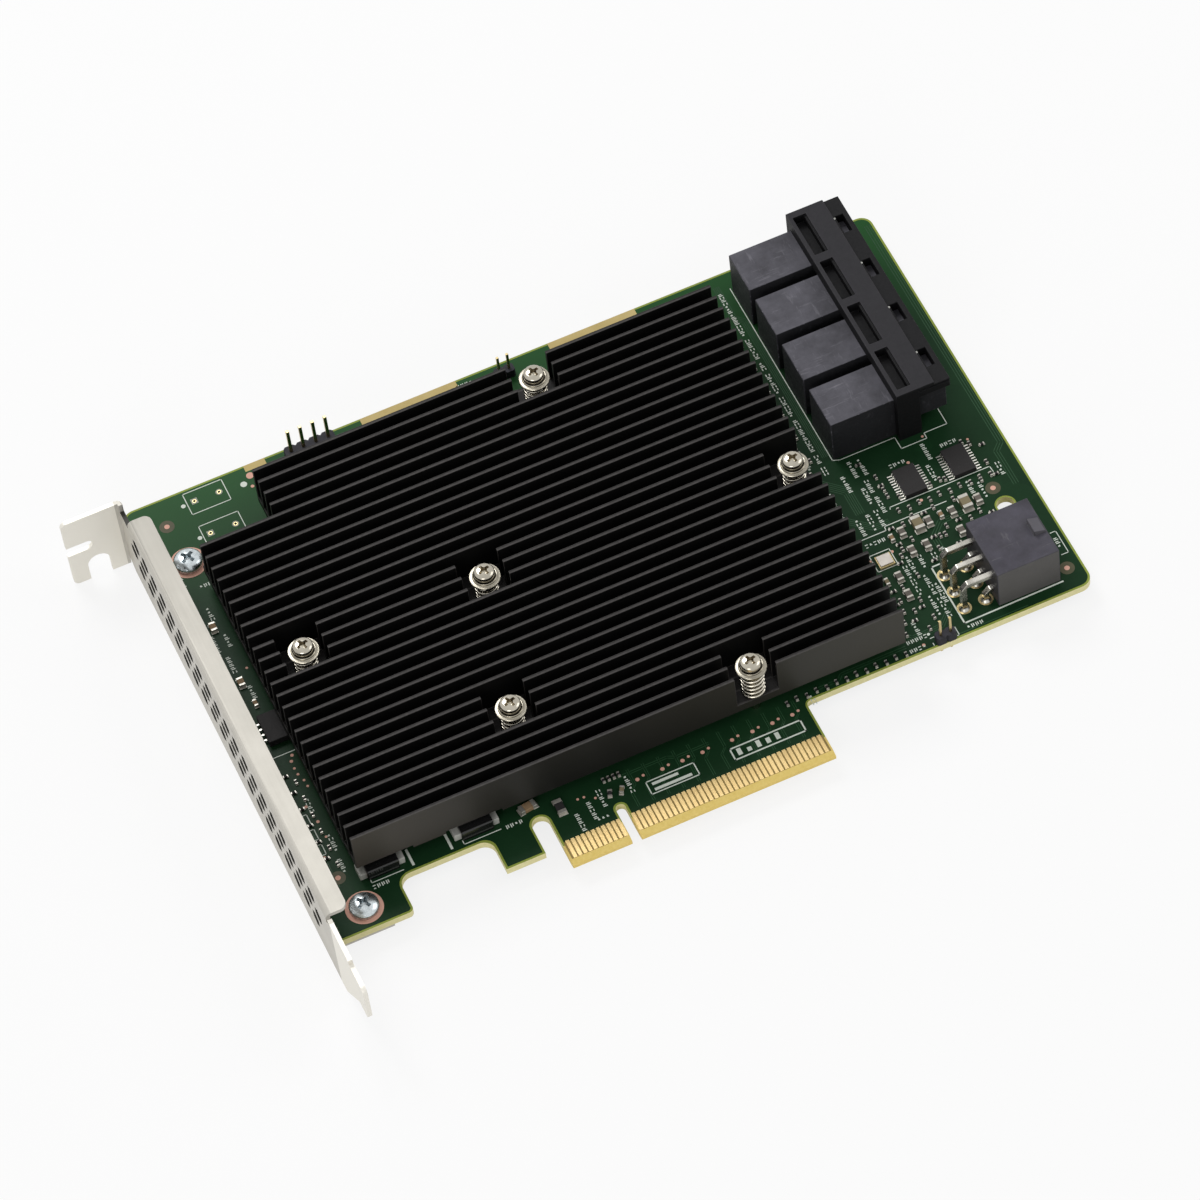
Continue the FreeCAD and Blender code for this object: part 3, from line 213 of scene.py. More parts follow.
# metal: a base tone, a second tone in clouds, and lines or grain in its roughness
def metal(name, base, tone, rough, grain=3000.0, brushed=False, bump=0.15, metallic=1.0, cloudScale=260.0):
    material, tree = startMaterial(name, metallic, 0.3)
    cloud = useGroup(tree, grainTree, Scale=cloudScale, Contrast=2.5)
    if brushed:
        mask = useGroup(tree, brushTree, Scale=grain)
    else:
        mask = useGroup(tree, grainTree, Scale=grain, Contrast=2.0)
    return endMaterial(material, mixColours(tree, cloud, base, tone), mask, rough, bump)


# satin plated sheet: painted shade darkens the flange toward its upper end, painted light brightens the bent tab and
# the tongue, and painted shade keeps the punched walls inside the vents dark; places in metres
sheetSteel = {
    "vents": (("X", -0.0590, -0.05795), ("Y", 0.003, 0.1025), ("Z", -0.001, 0.013)), "facing": 0.5,
    "wall": (0.035, 0.034, 0.03), "flangeFrom": -0.0582, "paintedShadeSpan": (0.0, 0.105), "paintedShadeShare": (0.05, 0.62),
    "paintedShadeTone": (0.22, 0.21, 0.185), "tabTo": -0.0595, "tongueTo": -0.001, "bentShare": 0.85,
    "bent": (0.90, 0.87, 0.79),
}


def makeBracketSteel():
    s = sheetSteel
    material, tree = startMaterial("satinBracket", 0.45, 0.3)
    cloud = useGroup(tree, grainTree, Scale=70.0, Contrast=2.2)
    rubbed = useGroup(tree, scuffTree, Scale=180.0, Amount=0.35)
    lines = useGroup(tree, brushTree, Scale=700.0)
    body = mixColours(tree, cloud, (0.60, 0.575, 0.52), (0.50, 0.48, 0.43))
    body = mixColours(tree, rubbed, body, (0.68, 0.66, 0.60))
    spot = splitAxes(tree, partPlace(tree))
    # painted shade: the flange darkens toward its upper end
    flange = addMath(tree, "GREATER_THAN", spot["X"], s["flangeFrom"])
    paintedShade = times(tree, flange, mapRange(tree, spot["Y"], *s["paintedShadeShare"], *s["paintedShadeSpan"]))
    body = mixColours(tree, paintedShade, body, s["paintedShadeTone"])
    # painted light: the bent tab and the tongue are lighter
    bent = addMath(tree, "MAXIMUM", addMath(tree, "LESS_THAN", spot["X"], s["tabTo"]),
                   addMath(tree, "LESS_THAN", spot["Y"], s["tongueTo"]))
    body = mixColours(tree, times(tree, bent, s["bentShare"]), body, s["bent"])
    # painted shade: the punched walls inside the vents are near black
    wall = addMath(tree, "LESS_THAN", addMath(tree, "ABSOLUTE", faceAxes(tree)["X"]), s["facing"])
    for axis, low, high in s["vents"]:
        wall = times(tree, wall, between(tree, spot[axis], low, high))
    return endMaterial(material, mixColours(tree, wall, body, s["wall"]), lines, (0.42, 0.58), 0.12)


# black anodising: near black in the gaps; a painted highlight with rubbed marks on the fins' upper edges; a front
# lighter as painted reflection, with two painted sheens along it
anodising = {
    "firstFin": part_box("heat_sink")[0].y, "pitch": 0.0029155, "frontTo": 0.0148, "front": (0.012, 0.012, 0.011),
    "sheens": ((-0.010, -0.048, (0.062, 0.056, 0.046)), (0.004, 0.060, (0.042, 0.040, 0.032))),
    "finTopHighlight": (0.078, 0.072, 0.070), "finShare": (1.0, 0.25), "finSpan": (0.09, 0.17), "rubbedHighlight": (0.075, 0.07, 0.065),
}


def makeAnodised():
    s = anodising
    material, tree = startMaterial("anodisedBlack", 0.25, 0.15)
    lines = useGroup(tree, brushTree, Scale=500.0)
    body = mixColours(tree, lines, (0.0025, 0.0024, 0.0024), (0.006, 0.0058, 0.0056))
    spot = splitAxes(tree, partPlace(tree))
    # painted reflection: the front is lighter, brightest in two painted sheens
    front = addMath(tree, "LESS_THAN", spot["Y"], s["frontTo"])
    body = mixColours(tree, front, body, s["front"])
    for start, end, tone in s["sheens"]:
        near = mapRange(tree, spot["X"], 0.0, 1.0, start, end)
        body = mixColours(tree, times(tree, near, front), body, tone)
    # a painted highlight and rubbed marks on the fins' upper faces
    raised = useGroup(tree, upTree, Uneven=0.9, Scale=1500.0)
    across = addMath(tree, "DIVIDE", addMath(tree, "SUBTRACT", spot["Y"], s["firstFin"]), s["pitch"])
    near = mapRange(tree, addMath(tree, "FRACT", across), *s["finShare"], *s["finSpan"])
    body = mixColours(tree, times(tree, raised, near), body, s["finTopHighlight"])
    rubbedHighlight = times(tree, useGroup(tree, scuffTree, Scale=300.0, Amount=0.3), raised)
    return endMaterial(material, mixColours(tree, rubbedHighlight, body, s["rubbedHighlight"]), lines, (0.40, 0.58), 0.12)


# the bare laminate: cream cut edges, golden along the contacts' tab, yellow-green under mask without copper
laminate = {
    "face": ((0.24, 0.31, 0.045), (0.34, 0.40, 0.075)), "edge": ((0.76, 0.70, 0.36), (0.88, 0.82, 0.46)),
    "tab": ((0.76, 0.56, 0.15), (0.88, 0.68, 0.23)), "tabTop": 0.0045, "tabSpan": (-0.0128, 0.0398),
    "flatFrom": 0.97,
}


def makeLaminate():
    material, tree = startMaterial("boardLaminate", 0.0, 0.2)
    weave = useGroup(tree, grainTree, Scale=1400.0, Contrast=2.0)
    face, edge, tab = [mixColours(tree, weave, *laminate[key]) for key in ("face", "edge", "tab")]
    flat = addMath(tree, "GREATER_THAN", addMath(tree, "ABSOLUTE", faceAxes(tree)["Z"]), laminate["flatFrom"])
    spot = splitAxes(tree, partPlace(tree))
    onTab = times(tree, addMath(tree, "LESS_THAN", spot["Y"], laminate["tabTop"]),
                  between(tree, spot["X"], *laminate["tabSpan"]))
    body = mixColours(tree, onTab, mixColours(tree, flat, edge, face), tab)
    return endMaterial(material, body, weave, (0.45, 0.75), 0.2)


# solder mask over copper: deep green, faintly mottled by the inner layers, lightened toward the upper edge by a
# painted sheen
maskTones = {
    "ground": ((0.006, 0.026, 0.0095), (0.0095, 0.037, 0.014)), "speckle": (0.0125, 0.044, 0.017),
    "poured": (0.012, 0.048, 0.017), "paintedSheen": (0.022, 0.1, 0.026), "paintedSheenShare": (0.0, 0.75),
    "paintedSheenSpan": (0.080, 0.111), "pouredShare": (0.0, 0.35), "pouredSpan": (0.55, 0.9), "speckleShare": (0.0, 0.5),
}


def makeMask():
    material, tree = startMaterial("solderMask", 0.0, 0.08)
    place = partPlace(tree)
    cells = addNode(tree, "TexVoronoi", {"Scale": 95.0, "Vector": place}, feature="F1", distance="CHEBYCHEV")
    mottle = useGroup(tree, grainTree, Scale=160.0, Contrast=1.6)
    speckle = useGroup(tree, grainTree, Scale=1500.0, Contrast=1.4)
    ground = mixColours(tree, mottle, *maskTones["ground"])
    ground = mixColours(tree, mapRange(tree, speckle, *maskTones["speckleShare"]), ground, maskTones["speckle"])
    poured = mapRange(tree, cells.outputs["Color"], *maskTones["pouredShare"], *maskTones["pouredSpan"])
    body = mixColours(tree, poured, ground, maskTones["poured"])
    # painted sheen: lighter green toward the upper edge
    paintedSheen = mapRange(tree, splitAxes(tree, place)["Y"], *maskTones["paintedSheenShare"], *maskTones["paintedSheenSpan"])
    body = mixColours(tree, paintedSheen, body, maskTones["paintedSheen"])
    fine = useGroup(tree, grainTree, Scale=2600.0, Contrast=2.0)
    return endMaterial(material, body, fine, (0.30, 0.42), 0.10)


finishes = {
    "board": makeLaminate(),
    "mask": makeMask(),
    "ink": moulding("silkInk", (0.68, 0.74, 0.66), (0.84, 0.88, 0.80), (0.48, 0.56, 0.48), rubAmount=0.3),
    "track": moulding("maskedTrack", (0.022, 0.070, 0.030), (0.028, 0.082, 0.036), (0.034, 0.09, 0.04),
                      rough=(0.3, 0.4)),
    "copper": moulding("copperDot", (0.72, 0.38, 0.29), (0.86, 0.50, 0.39), (0.58, 0.30, 0.23), rough=(0.4, 0.6)),
    "ring": moulding("maskedRing", (0.080, 0.076, 0.044), (0.115, 0.108, 0.064), (0.09, 0.086, 0.05),
                     rough=(0.35, 0.5)),
    "gold": metal("goldPlate", (0.66, 0.50, 0.24), (0.60, 0.43, 0.19), (0.30, 0.44)),
    "goldShade": moulding("contactGround", (0.26, 0.18, 0.06), (0.38, 0.28, 0.10), (0.30, 0.21, 0.08)),
    "pin": metal("pinGold", (0.62, 0.50, 0.26), (0.46, 0.37, 0.19), (0.22, 0.36)),
    "tin": metal("tinSolder", (0.66, 0.645, 0.59), (0.44, 0.43, 0.39), (0.24, 0.42), grain=1500.0, bump=0.3),
    "chipEnd": metal("chipEndTin", (0.58, 0.56, 0.50), (0.38, 0.36, 0.32), (0.24, 0.42), grain=1800.0, bump=0.3,
                     metallic=0.6),
    "lead": metal("tinnedLead", (0.64, 0.62, 0.56), (0.34, 0.325, 0.29), (0.18, 0.34), brushed=True),
    "sink": makeAnodised(),
    "nickel": metal("brightNickel", (0.50, 0.465, 0.39), (0.36, 0.335, 0.28), (0.12, 0.24)),
    "brim": metal("collarNickel", (0.36, 0.335, 0.275), (0.26, 0.24, 0.195), (0.20, 0.34)),
    "wire": metal("springWire", (0.66, 0.62, 0.53), (0.46, 0.43, 0.36), (0.12, 0.24)),
    "zinc": metal("zincScrew", (0.68, 0.735, 0.755), (0.42, 0.46, 0.475), (0.18, 0.36), grain=1600.0, bump=0.4,
                  cloudScale=1100),
    # darker finishes for the screws' cross recesses: painted shade
    "recess": metal("nickelRecess", (0.50, 0.455, 0.365), (0.30, 0.27, 0.21), (0.14, 0.26)),
    "zincRecess": metal("zincRecess", (0.58, 0.63, 0.65), (0.36, 0.39, 0.405), (0.18, 0.32)),
    # lighter finishes for broken edges, down to bracketEdge: rubbed marks with a painted highlight
    "portEdge": moulding("portEdge", (0.040, 0.039, 0.046), (0.062, 0.060, 0.070), (0.26, 0.255, 0.29),
                         rubAmount=0.85),
    "bezelEdge": moulding("bezelEdge", (0.030, 0.029, 0.032), (0.045, 0.043, 0.048), (0.10, 0.097, 0.10),
                          rubAmount=0.5),
    "inletEdge": moulding("inletEdge", (0.060, 0.058, 0.066), (0.080, 0.077, 0.088), (0.18, 0.175, 0.19),
                          rubAmount=0.6),
    "finEdge": moulding("finEdge", (0.044, 0.041, 0.040), (0.064, 0.059, 0.057), (0.11, 0.10, 0.095), rubAmount=0.5),
    "bracketEdge": metal("bracketEdge", (0.66, 0.64, 0.58), (0.56, 0.54, 0.48), (0.25, 0.4), metallic=0.6),
    "bracket": makeBracketSteel(),
    # the top tones in this list are painted light on the upper faces
    "port": moulding("portMoulding", (0.016, 0.016, 0.018), (0.024, 0.024, 0.027), (0.19, 0.185, 0.21),
                     top=(0.145, 0.141, 0.166), rubAmount=0.80, rubScale=170.0, rough=(0.42, 0.66), bump=0.5,
                     patch=(0.95, 240.0)),
    "bezel": moulding("bezelMoulding", (0.008, 0.008, 0.009), (0.013, 0.013, 0.014), (0.050, 0.048, 0.055),
                      top=(0.030, 0.029, 0.033), rubAmount=0.3),
    "inlet": moulding("inletMoulding", (0.022, 0.021, 0.025), (0.050, 0.048, 0.052), (0.16, 0.155, 0.165),
                      top=(0.120, 0.114, 0.146), rubAmount=0.75, rubScale=190.0, patch=(1.15, 200.0)),
    "header": moulding("headerMoulding", (0.016, 0.016, 0.019), (0.026, 0.026, 0.031), (0.09, 0.09, 0.10),
                       top=(0.042, 0.042, 0.052)),
    "chip": moulding("chipMoulding", (0.014, 0.013, 0.013), (0.022, 0.020, 0.021), (0.16, 0.15, 0.15),
                     top=(0.032, 0.030, 0.030), grain=2600.0, rubScale=900.0, rubAmount=0.6),
    "capCase": moulding("mouldedCapacitor", (0.008, 0.008, 0.008), (0.012, 0.012, 0.012), (0.03, 0.03, 0.03),
                        rubAmount=0.05, rough=(0.10, 0.18), bump=0.06, specular=0.5),
    "capEnd": moulding("capacitorEnd", (0.36, 0.36, 0.33), (0.56, 0.56, 0.52), (0.36, 0.36, 0.33),
                       rough=(0.3, 0.45), specular=0.5),
    "dullTin": moulding("dullTin", (0.30, 0.31, 0.25), (0.42, 0.43, 0.36), (0.24, 0.25, 0.20), rough=(0.35, 0.5)),
    "strip": moulding("bareStrip", (0.55, 0.42, 0.16), (0.68, 0.54, 0.24), (0.46, 0.36, 0.14), rough=(0.4, 0.6)),
    "brightLead": metal("brightLead", (0.82, 0.80, 0.74), (0.60, 0.58, 0.53), (0.25, 0.4)),
    "ceramicTan": moulding("ceramicTan", (0.20, 0.165, 0.095), (0.27, 0.225, 0.135), (0.32, 0.28, 0.19),
                           rubAmount=0.3),
    "ceramicBrown": moulding("ceramicBrown", (0.24, 0.155, 0.085), (0.33, 0.225, 0.13), (0.36, 0.26, 0.16),
                             rubAmount=0.3),
    "ceramicGrey": moulding("ceramicGrey", (0.12, 0.105, 0.09), (0.17, 0.155, 0.13), (0.22, 0.20, 0.17),
                            rubAmount=0.3),
    "lid": metal("crystalLid", (0.46, 0.43, 0.39), (0.36, 0.33, 0.30), (0.30, 0.45)),
    "pad": moulding("thermalPad", (0.42, 0.44, 0.48), (0.50, 0.52, 0.56), (0.55, 0.56, 0.60)),
    "dark": moulding("recessShade", (0.004, 0.004, 0.004), (0.007, 0.007, 0.007), (0.01, 0.01, 0.01), rubAmount=0.1),
}


# another tone where one coordinate of the part is past a level, in metres
def toneWhere(finish, axis, operation, level, tone, share):
    tree = finishes[finish].node_tree
    target = tree.nodes["Principled BSDF"].inputs["Base Color"]
    past = addMath(tree, operation, splitAxes(tree, partPlace(tree))[axis], level)
    colour = mixColours(tree, times(tree, past, share), target.links[0].from_socket, tone)
    feed(tree, colour, target)


toneLevels = {"coverFace": 0.0132, "inletTop": 0.00945, "inletFront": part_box("power_housing")[0].y + 0.0001}
# painted shade darkens the cover and its edges below the cover face; painted light brightens the inlet's top and
# front face
toneWhere("bezel", "Z", "LESS_THAN", toneLevels["coverFace"], (0.003, 0.003, 0.0035), 0.85)
toneWhere("bezelEdge", "Z", "LESS_THAN", toneLevels["coverFace"], (0.006, 0.006, 0.0065), 0.9)
toneWhere("inlet", "Z", "GREATER_THAN", toneLevels["inletTop"], (0.15, 0.145, 0.16), 0.6)
toneWhere("inlet", "Y", "LESS_THAN", toneLevels["inletFront"], (0.150, 0.145, 0.134), 0.5)

# the frame's own pieces: finish, width of the edge break in mm, and a lighter finish for the broken edges, rubbed
# marks with a painted highlight
edgeRules = {"frameAngle": 32, "pieceAngle": 40, "weldGap": 0.000001}
shells = [f"port_shell_{number}" for number in (1, 2, 3, 4)]
dressing = {
    "circuit_board": ["board"], "edge_contacts_front": ["gold", 0.01], "edge_contacts_rear": ["gold"],
    "slot_bracket": ["bracket", 0.1, "bracketEdge"], "heat_sink": ["sink", 0.06, "finEdge"],
    "retaining_nuts": ["nickel"], "raid_processor": ["lid"], "processor_thermal_pad": ["pad"],
    "memory_chips": ["chip"], "memory_thermal_pads": ["pad"], **dict.fromkeys(shells, ["port", 0.13, "portEdge"]),
    "port_contacts": ["gold"], "port_bezel": ["bezel", 0.1, "bezelEdge"], "power_leads": ["lead", 0.12],
    "power_housing": ["inlet", 0.14, "inletEdge"], "header_pins": ["pin", 0.06], "flash_chip": ["chip", 0.1],
    "interface_chip_1": ["chip", 0.08], "interface_chip_1_leads": ["brightLead"],
    "interface_chip_2": ["chip", 0.08], "interface_chip_2_leads": ["brightLead"],
}


def breakEdges(piece, width, angle):
    cut = piece.modifiers.new("edgeBreak", "BEVEL")
    cut.width = width * mm
    cut.segments = 2
    cut.limit_method = "ANGLE"
    cut.angle_limit = math.radians(angle)
    return cut


for name, spec in dressing.items():
    finish, width, rubbedHighlight = (spec + [None, None])[:3]
    materials = nodes[name].data.materials
    materials.clear()
    materials.append(finishes[finish])
    if width:
        nodes[name].modifiers.new("weld", "WELD").merge_threshold = edgeRules["weldGap"]
        cut = breakEdges(nodes[name], width, edgeRules["frameAngle"])
        if rubbedHighlight:
            materials.append(finishes[rubbedHighlight])
            cut.material = 1
print("finishes on the frame:", len(dressing))


# mesh helpers, all in millimetres

def addObject(name, data):
    item = bpy.data.objects.new(name, data)
    scene.collection.objects.link(item)
    return item


def toMesh(name, bm):
    mesh = bpy.data.meshes.new(name)
    bmesh.ops.recalc_face_normals(bm, faces=bm.faces)
    bm.to_mesh(mesh)
    bm.free()
    return mesh


def placePiece(name, mesh, finish, smooth=None, edge=None):
    piece = addObject(name, mesh)
    for key in (finish if isinstance(finish, list) else [finish]):
        mesh.materials.append(finishes[key])
    if smooth is not None:
        mesh.shade_smooth()
        mesh.set_sharp_from_angle(angle=math.radians(smooth))
    if edge:
        breakEdges(piece, edge, edgeRules["pieceAngle"])
    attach(piece, "root")
    return piece


def addPiece(name, bm, finish, smooth=None, edge=None):
    bmesh.ops.scale(bm, vec=Vector((mm, mm, mm)), verts=bm.verts)
    return placePiece(name, toMesh(name, bm), finish, smooth, edge)


def paint(verts, index):
    for face in {face for vert in verts for face in vert.link_faces}:
        face.material_index = index


def spin(bm, verts, angle, about=(0, 0, 0)):
    bmesh.ops.rotate(bm, cent=about, matrix=Matrix.Rotation(angle, 3, "Z"), verts=verts)


# a block between two opposite corners, given in any order
def addBlock(bm, corner, opposite, index=0, turn=0.0, about=None):
    low, high = Vector([*map(min, corner, opposite)]), Vector([*map(max, corner, opposite)])
    verts = bmesh.ops.create_cube(bm, size=1.0)["verts"]
    bmesh.ops.scale(bm, vec=high - low, verts=verts)
    bmesh.ops.translate(bm, vec=(low + high) / 2, verts=verts)
    if turn:
        spin(bm, verts, math.radians(turn), about)
    paint(verts, index)
    return verts


def addDisc(bm, x, y, radius, low, high, count=24, index=0):
    middle = Matrix.Translation((x, y, (low + high) / 2))
    made = bmesh.ops.create_cone(bm, cap_ends=True, segments=count, radius1=radius, radius2=radius,
                                 depth=high - low, matrix=middle)
    paint(made["verts"], index)


def circleLoop(x, y, radius, count=32):
    return [(x + radius * math.cos(2 * math.pi * k / count), y + radius * math.sin(2 * math.pi * k / count))
            for k in range(count)]


def addTurned(bm, profile, x=0.0, y=0.0, z=0.0, count=48, index=0):
    rings = []
    for radius, height in profile:
        places = circleLoop(x, y, radius, count) if radius > 1e-6 else [(x, y)]
        rings.append([bm.verts.new((*place, z + height)) for place in places])
    for lower, upper in zip(rings, rings[1:]):
        for k in range(count):
            corners = [ring[step % len(ring)] for ring, step in ((lower, k), (lower, (k + 1) % count),
                                                                 (upper, (k + 1) % count), (upper, k))]
            unique = list(dict.fromkeys(corners))
            if len(unique) > 2:
                bm.faces.new(unique).material_index = index


def addStroke(bm, start, end, width, low, high):
    start, end = Vector((*start, 0)), Vector((*end, 0))
    along = end - start
    half = along.length / 2
    verts = addBlock(bm, (-half, -width / 2, low), (half, width / 2, high))
    spin(bm, verts, math.atan2(along.y, along.x))
    bmesh.ops.translate(bm, vec=(start + end) / 2, verts=verts)


def addPath(bm, points, width, low, high, closed=False):
    following = points[1:] + points[:1] if closed else points[1:]
    for start, end in zip(points, following):
        reach = (Vector(end) - Vector(start)).normalized() * width / 2
        addStroke(bm, Vector(start) - reach, Vector(end) + reach, width, low, high)


def roundedLoop(plan, steps=6):
    loop = []
    for number, (x, y, radius) in enumerate(plan):
        if radius <= 0:
            loop.append((x, y))
            continue
        here = Vector((x, y))
        first = (Vector(plan[number - 1][:2]) - here).normalized()
        second = (Vector(plan[(number + 1) % len(plan)][:2]) - here).normalized()
        half = math.acos(max(-1.0, min(1.0, first.dot(second)))) / 2
        reach = radius / math.tan(half)
        centre = here + (first + second).normalized() * (radius / math.sin(half))
        start, end = here + first * reach - centre, here + second * reach - centre
        sweep = math.atan2(start.x * end.y - start.y * end.x, start.dot(end))
        loop += [tuple(centre + Matrix.Rotation(sweep * k / steps, 2) @ start) for k in range(steps + 1)]
    return loop


# sum of the left-hand normals of the two runs that meet at a corner
def cornerNormal(first, second):
    return Vector((-first.y - second.y, first.x + second.x))


def insetPlan(plan, distance):
    moved = []
    for number, (x, y, radius) in enumerate(plan):
        here = Vector((x, y))
        first = (here - Vector(plan[number - 1][:2])).normalized()
        second = (Vector(plan[(number + 1) % len(plan)][:2]) - here).normalized()
        inward = cornerNormal(first, second) * distance
        convex = first.x * second.y - first.y * second.x > 0
        radius = max(radius - distance, 0.05) if convex else radius + distance
        moved.append((x + inward.x, y + inward.y, radius))
    return moved


def flatSheet(name, loops, low, high, finish):
    curve = bpy.data.curves.new(name, "CURVE")
    curve.dimensions = "2D"
    curve.fill_mode = "BOTH"
    curve.extrude = (high - low) / 2 * mm
    for loop in loops:
        spline = curve.splines.new("POLY")
        spline.points.add(len(loop) - 1)
        for point, (x, y) in zip(spline.points, loop):
            point.co = (x * mm, y * mm, 0.0, 1.0)
        spline.use_cyclic_u = True
    source = addObject(name + "Source", curve)
    mesh = bpy.data.meshes.new_from_object(source)
    bpy.data.objects.remove(source)
    mesh.name = name
    mesh.transform(Matrix.Translation((0, 0, (low + high) / 2 * mm)))
    mesh.materials.clear()
    return placePiece(name, mesh, finish)


# the board's outline, and the mask over its copper, set in from the cut edge
board = {
    "left": boardLow.x / mm, "right": boardHigh.x / mm, "top": boardHigh.y / mm, "under": boardLow.z / mm,
    "rim": 0.42, "contactTop": 5.15, "sheet": 0.03, "print": 0.05, "hole": (91.5, 36.5), "holeRim": 2.05,
    "footCorner": -42.0, "foot": 4.1, "ledgeLeft": 12.0, "ledgeRight": 13.1, "tabEnd": 39.6, "tabStart": -12.6,
    "hook": (-23.7, -16.0, 4.6), "hookTop": 12.4, "hookRound": 1.69, "keyHalf": 0.95, "keyTop": 8.2, "keyRound": 0.94,
}
leftEnd, rightEnd, upperEdge = board["left"], board["right"], board["top"]
under, sheet = board["under"], board["sheet"]
onMask = (sheet, board["print"])
tabStart, tabEnd, keyHalf = board["tabStart"], board["tabEnd"], board["keyHalf"]
hookLeft, hookRight, hookFoot = board["hook"]
plan = [
    (keyHalf, 0, 0), (tabEnd, 0, 0), (tabEnd, board["ledgeRight"], 1.2), (rightEnd, board["ledgeRight"], 2.4),
    (rightEnd, upperEdge, 2.4), (leftEnd, upperEdge, 2.4), (leftEnd, board["foot"], 1.0),
    (board["footCorner"], board["foot"], 1.0),
    (board["footCorner"], board["ledgeLeft"], 2.4), (hookLeft, board["ledgeLeft"], 2.0), (hookLeft, hookFoot, 0.4),
    (hookRight, hookFoot, 0.4), (hookRight, board["hookTop"], board["hookRound"]),
    (tabStart, board["hookTop"], board["hookRound"]), (tabStart, 0, 0), (-keyHalf, 0, 0),
    (-keyHalf, board["keyTop"], board["keyRound"]), (keyHalf, board["keyTop"], board["keyRound"]),
]
loop = [(x, max(y, board["contactTop"]) if tabStart - 0.1 < x < tabEnd + 0.1 and abs(y) < 2 else y)
        for x, y in roundedLoop(insetPlan(plan, board["rim"]))]
hole = circleLoop(*board["hole"], board["holeRim"])
flatSheet("maskFront", [loop, hole], 0.0, sheet, "mask")
flatSheet("maskRear", [loop, hole], under - sheet, under, "mask")

# darker ground between the gold contacts
contactZone = {"from": 1.25, "to": 5.14, "thick": 0.012, "rows": ((tabStart + 0.35, -1.3), (1.3, tabEnd - 0.35))}
ground = bmesh.new()
for start, end in contactZone["rows"]:
    for face, outward in ((0.0, 1), (under, -1)):
        addBlock(ground, (start, contactZone["from"], face),
                 (end, contactZone["to"], face + outward * contactZone["thick"]))
addPiece("contactGround", ground, "goldShade")
print("board covered")

# printed outlines and marks on the component side, all plain
ink = {"thin": 0.17, "wide": 0.32, "bar": 0.5}
marks = bmesh.new()
outlines = [
    [(67.25, 106.9), (67.25, 60.6), (68.6, 60.1), (79.9, 60.1), (79.9, 57.15), (85.2, 57.15), (85.2, 58.5),
     (90.0, 58.5), (90.0, 62.4)],
    [(72.0, 45.4), (72.1, 45.8), (92.7, 45.8), (92.8, 44.4)],
    [(64.3, 41.3), (69.2, 41.3), (69.3, 42.25), (82.0, 42.25)],
    [(95.9, 26.7), (97.0, 26.7), (97.0, 21.3), (95.6, 21.3)],
    [(-46.6, 13.9), (-46.6, 13.05), (-40.4, 13.05)],
    [(-28.4, 13.9), (-28.4, 13.05), (-21.2, 13.05)],
    [(-54.2, 47.6), (-53.3, 46.4), (-47.4, 46.4)],
    [(65.9, 14.2), (65.9, 13.7)], [(71.0, 15.6), (71.0, 13.7), (70.6, 13.7)], [(65.9, 15.4), (66.6, 15.4)],
]
for points in outlines:
    addPath(marks, points, ink["thin"], *onMask)
addPath(marks, [(93.1, 15.8), (73.0, 15.6), (73.0, 29.8), (76.2, 29.8)], ink["wide"], *onMask)
for x in (-30.75, -38.35):
    addStroke(marks, (x, 13.1), (x, 16.9), ink["bar"], *onMask)
for x, y, radius in ((-45.88, 107.58, 0.45), (-45.81, 99.24, 0.45), (-33.73, 107.08, 0.65), (66.0, 16.4, 0.3)):
    addDisc(marks, x, y, radius, *onMask, 16)

# boxes by two opposite corners and the width of their line; the last two hold the plain bars below
boxes = [
    (63.85, 33.3, 67.9, 37.3, ink["thin"]), (-45.05, 104.95, -37.15, 110.2, ink["thin"]),
    (-45.1, 96.6, -37.1, 101.8, ink["thin"]), *((-53.4, y, -51.6, y + 2.4, ink["thin"]) for y in (22.6, 26.2, 29.8)),
    (22.9, 7.3, 37.0, 9.9, 0.3), (6.3, 7.4, 15.8, 10.3, 0.22),
]
for x, y, farX, farY, width in boxes:
    addPath(marks, [(x, y), (farX, y), (farX, farY), (x, farY)], width, *onMask, closed=True)
bars = {"upright": (24.3, 7.95, 1.9, 0.85), "heights": (1.5, 0.9, 1.5, 1.2, 1.5), "flat": (7.2, 8.15, 1.3, 0.6),
        "ends": (14.6, 12.4)}
x, y, step, width = bars["upright"]
for k, height in enumerate(bars["heights"]):
    addStroke(marks, (x + step * k, y), (x + step * k, y + height), width, *onMask)
x, y, step, width = bars["flat"]
for k, end in enumerate(bars["ends"]):
    addStroke(marks, (x, y + step * k), (end, y + step * k), width, *onMask)

